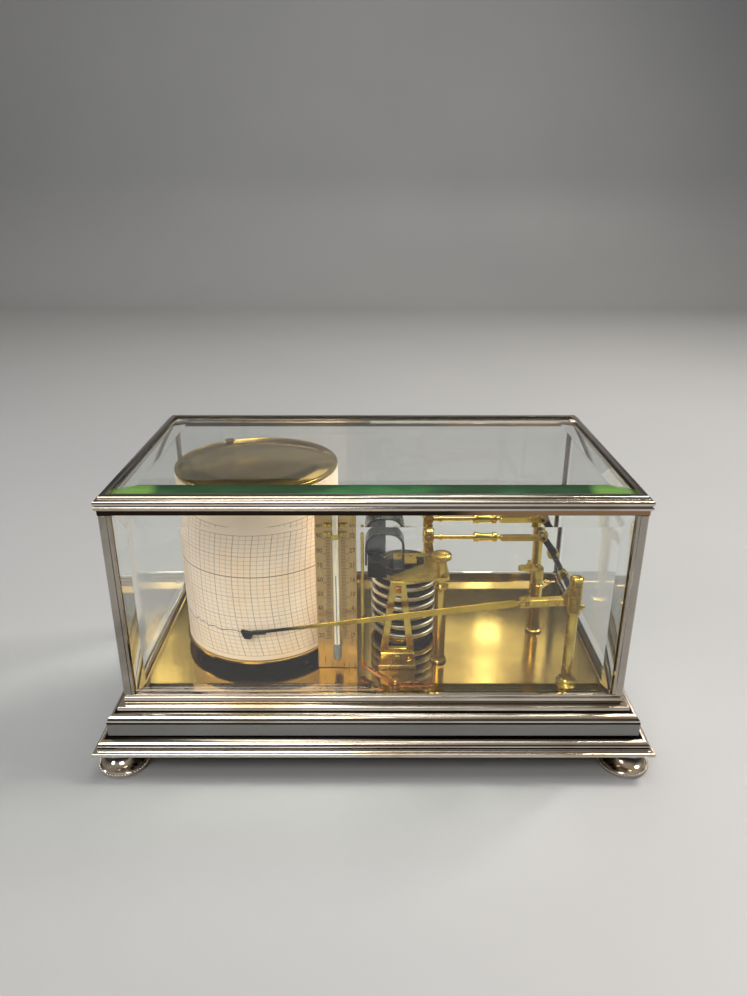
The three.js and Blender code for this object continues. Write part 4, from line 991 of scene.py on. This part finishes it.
def bell_crank():
    low, high = span("bell_crank")
    x0 = middle("crank_pillar")[0]
    pin = x0 - CRANK_PIN
    arm = [[x0 - 1.7, CRANK_Z], [x0 + 1.7, CRANK_Z], *arc((pin, LINK_Z), 1.5, 0, 180, 8)]
    parts = [
        rod((x0, low[1], CRANK_Z), (x0, high[1], CRANK_Z), 0.9),
        disc(2.2, 3.2, (x0, LINK_Y - 1.6, CRANK_Z), "y", 40),
        plate(arm, LINK_Y + 0.4, LINK_Y + 1.6, "y", 0.15),
        block(x0 + 1, high[0], LINK_Y - 0.9, LINK_Y + 0.9, CRANK_Z - 1, CRANK_Z + 1),
        rod((pin, LINK_Y - 1.8, LINK_Z), (pin, LINK_Y + 1, LINK_Z), 0.8),
        disc(1.9, 2.4, (x0, 14, CRANK_Z), "y"),
        disc(1.7, 1.6, (x0, -10.6, CRANK_Z), "y"),
    ]
    brass("bell_crank_lever", parts, "bell_crank", "bell_crank")


def link():
    sleeve_at = middle("link_sleeve")
    left = middle("crank_pillar")[0] - CRANK_PIN
    right = middle("arbor_pillar_front")[0] - ARBOR_PIN
    y = LINK_Y - 0.4
    half = 7.0
    shank = sleeve_at[0] - 2.5
    eye = eased([[1.7, -1.2], [3.0, -1.2], [3.0, 0], [1.7, 0]], 0.15)
    nut = eased([[0, 0], [1.9, 0], [1.9, 1.6], [0, 1.6]], 0.2, closed=False)
    parts = [
        turned([*eye, eye[0]], (left, LINK_Y, LINK_Z), "y", 40),
        rod((left + 2.6, y, LINK_Z), (shank, y, LINK_Z), 1.3, 24),
        turned(nut, (left + 6, y, LINK_Z), "x", 32),
    ]
    brass("link_left_rod", parts, "link", "link_rod")

    bar = sleeve_at[0] + half + 1.5
    line = [[bar, LINK_Z - 1.1], [bar + 1.2, LINK_Z - 1.7], [right - 1.6, LINK_Z - 1.7]]
    line += [[right - 1.6, LINK_Z + 1.7]]
    line += [[bar + 1.2, LINK_Z + 1.7], [bar, LINK_Z + 1.1]]
    ring = eased([[1.1, -3], [2.4, -3], [2.4, 0], [1.1, 0]], 0.15)
    parts = [
        plate(eased(line, 0.4), LINK_Y - 3, LINK_Y, "y", 0.2),
        turned([*ring, ring[0]], (right, LINK_Y, LINK_Z), "y", 40),
        rod((sleeve_at[0] + 2.5, y, LINK_Z), (bar + 1, y, LINK_Z), 1.3, 24),
    ]
    brass("link_right_bar", parts, "link", "link_bar")

    outline = [[1.6, -half], [2.5, -half], [3, -half + 0.5], [3, -half + 2.5], [2.35, -half + 3.1]]
    outline += [[2.35, half - 3.1], [3, half - 2.5], [3, half - 0.5], [2.5, half], [1.6, half]]
    outline = eased(outline, 0.2, steps=2)
    part = turned([*outline, outline[0]], sleeve_at, "x", 120)
    brass("link_adjusting_sleeve", [part], "link_sleeve", "link_sleeve")


# ---- Pen ----


def pen_work():
    low, high = span("arbor_pillar_front")
    x, y = middle("arbor_pillar_front")[:2]
    tall = high[2] - low[2]
    axis = ARBOR[2] - low[2]
    barrel = [[2.7, axis - 10], [3.8, axis - 9]]
    grooves = np.linspace(axis - 8, axis + 10.5, 26)
    barrel += [[3.8 - 0.28 * (i % 2), z] for i, z in enumerate(grooves)]
    profile = [[0, 0], [5.6, 0], [5.6, 1.2], [5.2, 1.6], [3.9, 2.2], [3.2, 3.2], [2.9, 6], *barrel]
    profile += [[3.8, axis + 11], [3.8, axis + 12], [3.2, axis + 12.6], [2.0, tall], [0, tall]]
    parts = [turned(profile, (x, y, low[2]), steps=72)]
    parts += screw((x + 3.6, y, ARBOR[2] - 5.5), 1.5, "x", 1, 15, 2.0)
    parts += screw((x - 3.6, y, ARBOR[2] + 5.5), 1.0, "x", -1, 70, 1.0)
    brass("front_arbor_pillar", parts, "base", "arbor_pillar_front")

    low, high = span("arbor_pillar_rear")
    x, y = middle("arbor_pillar_rear")[:2]
    axis = ARBOR[2] - low[2]
    profile = pillar_profile(high[2] - low[2], 3.2, 5.6, (axis - 5, 3.9, 9.5))
    parts = [turned(profile, (x, y, low[2]), steps=64)]
    brass("rear_arbor_pillar", parts, "base", "arbor_pillar_rear")

    low, high = span("pen_arbor")
    x, z = ARBOR[0], ARBOR[2]
    near = LINK_Y + 0.3
    tip = (x - ARBOR_PIN, LINK_Z)
    arm = [[x + 0.4, z - 2.6], [x + 2.6, z + 1.4], [tip[0] + 1.7, tip[1] + 0.9], *arc(tip, 2.0, 30, 190, 8)]
    parts = [
        rod((x, low[1], z), (x, high[1], z), 1.7, 40),
        plate(eased(arm, 0.3, steps=2), near, near + 2.4, "y", 0.25),
        rod((tip[0], LINK_Y - 3.6, tip[1]), (tip[0], near + 2, tip[1]), 0.8),
    ]
    make("steel_pen_arbor", parts, "pen_arbor", BLUED, "blued_steel", ["pen_arbor"])
    hub = eased([[0, 0], [3.4, 0], [3.4, 4], [0, 4]], 0.4, closed=False)
    collar = eased([[0, 0], [2.9, 0], [2.9, 3], [0, 3]], 0.4, closed=False)
    parts = [
        turned(hub, (x, near, z), "y", 56),
        turned(collar, (x, -30, z), "y", 48),
        turned(collar, (x, 24, z), "y", 48),
        *screw((x - 1.2, near + 3.2, z + 2.6), 0.9, tall=1.2),
        *screw((x, -28.5, z + 2.6), 0.9, turn=60, tall=1.1),
    ]
    brass("arbor_collars", parts, "pen_arbor")


def pen_arm():
    low = span("pen_block")[0]
    y = middle("pen_block")[1]
    gate = low[0] + 2
    gate_z = low[2] + 2.3
    tall = 2.3
    x, z = ARBOR[0], ARBOR[2]
    left = gate + 3
    line = [[left, gate_z - tall], [x - 1, gate_z - tall + 1.5], *arc((x, z), 3.4, -60, 110, 14)]
    line += [[x - 5, gate_z + tall + 1], [left, gate_z + tall]]
    parts = [
        plate(eased(line, 0.4, steps=2), y - 2, y + 2, "y", 0.25),
        block(gate - 2, left + 1, y - 2, y + 2, gate_z + tall - 0.7, gate_z + tall, 0.15),
        block(gate - 2, left + 1, y - 2, y + 2, gate_z - tall, gate_z - tall + 0.7, 0.15),
        rod((gate, y, gate_z - tall), (gate, y, gate_z + tall), 0.9, 24),
        *screw((gate, y, gate_z + tall - 0.05), 1.5, turn=15, tall=0.9),
        *screw((x - 7.5, y - 1.95, gate_z + 0.8), 1.2, "y", -1, 50, 0.8),
        *screw((x - 14, y - 1.95, gate_z + 0.1), 0.9, "y", -1, 5, 0.5),
    ]
    brass("pen_clamp", parts, "pen_arbor", "pen_block")

    end, start = span("pen_arm")[0][0], gate - 1.6
    end_z = NIB_LINE[1] + (end - NIB_LINE[0]) * (gate_z - NIB_LINE[1]) / (gate - NIB_LINE[0])
    half = tall - 1.0
    edge_x = np.concatenate([np.linspace(end, gate - 6, 24), [gate - 4.4, gate - 2.8, start]])
    mid = end_z + (gate_z - end_z) * (edge_x - end) / (gate - end)
    width = np.interp(edge_x, [end, end + 47, gate - 70, gate - 6, gate - 2.8], [0.8, 1.2, 1.9, 2.2, half])
    line = np.concatenate([np.stack([edge_x, mid - width], -1), np.stack([edge_x, mid + width], -1)[::-1]])
    knuckle = tube(1.2, 2.1, gate_z - half, gate_z + half, (gate, y, 0))
    parts = [plate(line, y - 0.3, y + 0.3, "y", 0.08), knuckle]
    make("pen_arm_strip", parts, "pen_arm", PEN_BRASS, "lacquered_brass", ["pen_arm"])

    low, high = span("pen_nib")
    back, front = high[1], low[1]
    x, z = NIB_LINE
    line = [[x - 3.6, z + 2.6], [x - 2.6, z - 0.6], [x - 1.8, z - 2.2], [x + 1.6, z - 2.6]]
    line += [[x + 2.7, z - 0.8]]
    line += [[x + 2.7, z + 1.6], [x - 0.5, z + 1.2], [x - 2.2, z + 1.5]]
    socket = [[end - 0.5, end_z - 1.15], [end + 7, end_z - 0.7], [end + 7, end_z + 1.5]]
    socket += [[end - 0.5, end_z + 1.2]]
    parts = [
        plate(eased(line, 0.35), front, back, "y", 0.4),
        plate(eased(socket, 0.3), y - 0.75, y + 0.75, "y", 0.2),
    ]
    make("ink_nib", parts, "pen_arm", JAPAN, "black_japan", ["pen_nib"])


def stop_pillar():
    low, high = span("stop_pillar")
    x, y = high[0] - 5.0, middle("stop_pillar")[1]
    top = DECK + 44.5
    parts = [
        turned(pillar_profile(top - low[2], 3.2, 5.0, (30, 3.8, 3)), (x, y, low[2]), steps=64),
        plate(rectangle(x - 12.4, x + 1, y - 3, y + 3, 2.4), top - 2, top, edge=0.3),
        disc(1.1, 8, (x - 6, y, top - 4), steps=24),
        disc(2.1, 1.4, (x - 6, y, top), steps=6),
        *screw((x, y, top), 1.9, turn=35, tall=1.0),
    ]
    brass("travel_stop", parts, "base", "stop_pillar")


def lifter():
    low, high = span("lifter_base")
    x, y = low[0] + 16, low[1] + 3.4
    tall = high[2] - low[2]
    post = [[0, 0], [1.6, 0], [1.6, tall - 0.3], [1.3, tall], [0, tall]]
    parts = [
        block(x - 16, x + 20, y - 3.4, y + 2.6, low[2], low[2] + 1.5),
        disc(3, 3.1, (x, y, low[2]), steps=40),
        turned(post, (x, y, low[2]), steps=32),
        *screw((x - 12.5, y - 0.4, low[2] + 1.5), 1.6, turn=55, tall=0.9),
        *screw((x + 16.5, y - 0.4, low[2] + 1.5), 1.6, turn=10, tall=0.9),
    ]
    brass("lifter_stand", parts, "base", "lifter_base")

    low, high = span("lifter_lever")
    bottom = low[2]
    rod_at = (x - 18, high[1] - 0.9)
    reach = math.hypot(rod_at[0] - x, rod_at[1] - y)
    lean = math.degrees(math.atan2(rod_at[1] - y, rod_at[0] - x))
    bar = eased([[2.4, -1.5], [reach + 0.6, -1.0], [reach + 1.2, 0], [reach + 0.6, 1.0], [2.4, 1.5]], 0.4)
    handle = eased([[2.4, -1.5], [19, -1.2], [21, -0.6], [21, 0.6], [19, 1.2], [2.4, 1.5]], 0.5)
    parts = [
        moved(spun(plate(bar, bottom, bottom + 1.6), lean, (0, 0)), (x, y, 0)),
        moved(plate(handle, bottom, bottom + 1.6), (x, y, 0)),
        tube(1.9, 3.2, 0, 2.4, (x, y, bottom), steps=48),
        disc(1.9, 2.6, (*rod_at, bottom + 0.2)),
    ]
    make("lifter_lever_arm", parts, "lifter", GILDING, "lacquered_brass", ["lifter_lever"])
    wire = rod((*rod_at, bottom + 0.2), (*rod_at, high[2]), 0.9, 24, 0.5)
    brass("lifter_rod", [wire], "lifter")


def deck_screws():
    high = span("deck_plate")[1]
    parts = []
    for sx in (-1, 1):
        for sy in (-1, 1):
            at = (sx * (high[0] - 6), sy * (high[1] - 5), high[2] - 0.1)
            parts += screw(at, 2.0, turn=20 + 35 * sx * sy, tall=0.7)
    brass("deck_screws", parts, "base")


def carried_over():
    """Finishes of the CAD nodes whose own shape is right."""
    kept = {
        "base_board": WOOD,
        "deck_plate": DECK_BRASS,
        "drum_spindle": STEEL,
        "centre_wheel": BRASS,
        "drive_pinion": STEEL,
        "chart_clip": BRASS,
        "clock_case": BRASS,
        "mainspring_barrel": BRASS,
        "thermometer_foot": BRASS,
        "glass_front": GLASS,
        "glass_back": GLASS,
        "glass_left": GLASS,
        "glass_right": GLASS,
        "glass_top": LID_GLASS,
    }
    for name, finish in kept.items():
        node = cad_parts[name]
        node.data.materials.clear()
        node.data.materials.append(finish)


lid_front = span("glass_top")[0][1]
LID_GLASS = window_glass("lid_plate_glass", "FBFDFB", (lid_front + 10.0, lid_front + 11.5))

plinth()
feet()
cover_frames()
cover_posts()
drum()
thermometer()
capsules()
stack_ends()
spring_parts()
lever_frame()
bridge()
knob_and_pillars()
bell_crank()
link()
pen_work()
pen_arm()
stop_pillar()
lifter()
deck_screws()
carried_over()


# ---- Floor, light and camera ----


def studio():
    """A pale floor that sweeps up behind the instrument, and its lamps.

    The three glow lamps stand where the polished deck reflects them towards the camera."""
    far, bend, height, half = 1.7, 0.35, 0.95, 8.0
    a = np.linspace(-math.pi / 2, 0, 24)
    line = [[-half, 0.0], *np.stack([far + bend * np.cos(a), bend + bend * np.sin(a)], -1)]
    line += [[far + bend, height]]
    line = np.array(line)
    x = np.array([-half, half])
    points = np.stack(np.broadcast_arrays(x[None, :], line[:, :1], line[:, 1:]), -1).reshape(-1, 3)
    i = np.arange(len(line) - 1)
    mesh = bpy.data.meshes.new("floor")
    mesh.from_pydata(points.tolist(), [], np.stack([2 * i, 2 * i + 1, 2 * i + 3, 2 * i + 2], -1).tolist())
    mesh.polygons.foreach_set("use_smooth", np.ones(len(mesh.polygons), bool))
    material, tree, place = empty_material("pale_painted_floor")
    grain = speckle(tree, place, 6, 3.0)
    colour = blended(tree, speckle(tree, place, 300, 3.0), linear("999CA0"), linear("A2A4A7"))
    mesh.materials.append(finished(material, tree, colour, 0.55, grain, 0.05))
    floor = bpy.data.objects.new("floor", mesh)
    bpy.context.scene.collection.objects.link(floor)

    world = bpy.data.worlds.new("studio")
    bpy.context.scene.world = world
    world.use_nodes = True
    tree = world.node_tree
    tree.nodes.clear()
    up = add(tree, "SeparateXYZ", {0: add(tree, "TexCoord").outputs["Generated"]}).outputs[2]
    glow = blended(tree, between(tree, up, 0.35, 0.95), linear("4A4D50"), linear("F3E8D6"))
    sky = add(tree, "Background", {"Color": glow, "Strength": 0.5})
    add(tree, "OutputWorld", {"Surface": sky.outputs[0]})

    lamps = [
        ("key", (1.0, 0.45, 1.35), (0.4, 0.4), 30, "FFF6EA"),
        ("front", (-0.45, -1.2, 1.5), (0.8, 0.8), 17, "FFF9F2"),
        ("overhead", (0.1, 0.1, 1.9), (0.9, 0.9), 14, "FFFFFF"),
        ("glow", (0.298, 1.285, 0.85), (0.06, 0.05), 0.05, "FFF6DC"),
        ("lower_glow", (0.275, 1.2, 0.95), (0.07, 0.12), 0.11, "FFF6DC"),
        ("broad_glow", (0.26, 1.3, 1.0), (0.55, 0.3), 0.8, "FFF4D8"),
        ("side", (-1.4, -0.1, 0.8), (0.5, 0.5), 4, "E9EEFF"),
    ]
    for name, place, size, power, tint in lamps:
        light = bpy.data.lights.new(name, "AREA")
        light.shape = "RECTANGLE"
        light.size, light.size_y = size
        light.energy = power
        light.color = linear(tint)[:3]
        lamp = bpy.data.objects.new(name, light)
        lamp.location = place
        aim = np.array([0, 0, 0.06]) - np.array(place)
        lamp.rotation_euler = Vector(aim).to_track_quat("-Z", "Y").to_euler()
        bpy.context.scene.collection.objects.link(lamp)

    camera = bpy.data.objects.new("camera", bpy.data.cameras.new("camera"))
    camera.location = (0, -0.4088, 0.2926)
    camera.rotation_euler = (math.radians(90 - 22.03), 0, 0)
    camera.data.lens = 27.108
    camera.data.sensor_width = 36
    camera.data.clip_start = 0.01
    bpy.context.scene.collection.objects.link(camera)
    bpy.context.scene.camera = camera
    bpy.context.scene.view_settings.view_transform = "Standard"
    bpy.context.scene.view_settings.exposure = -0.15


studio()
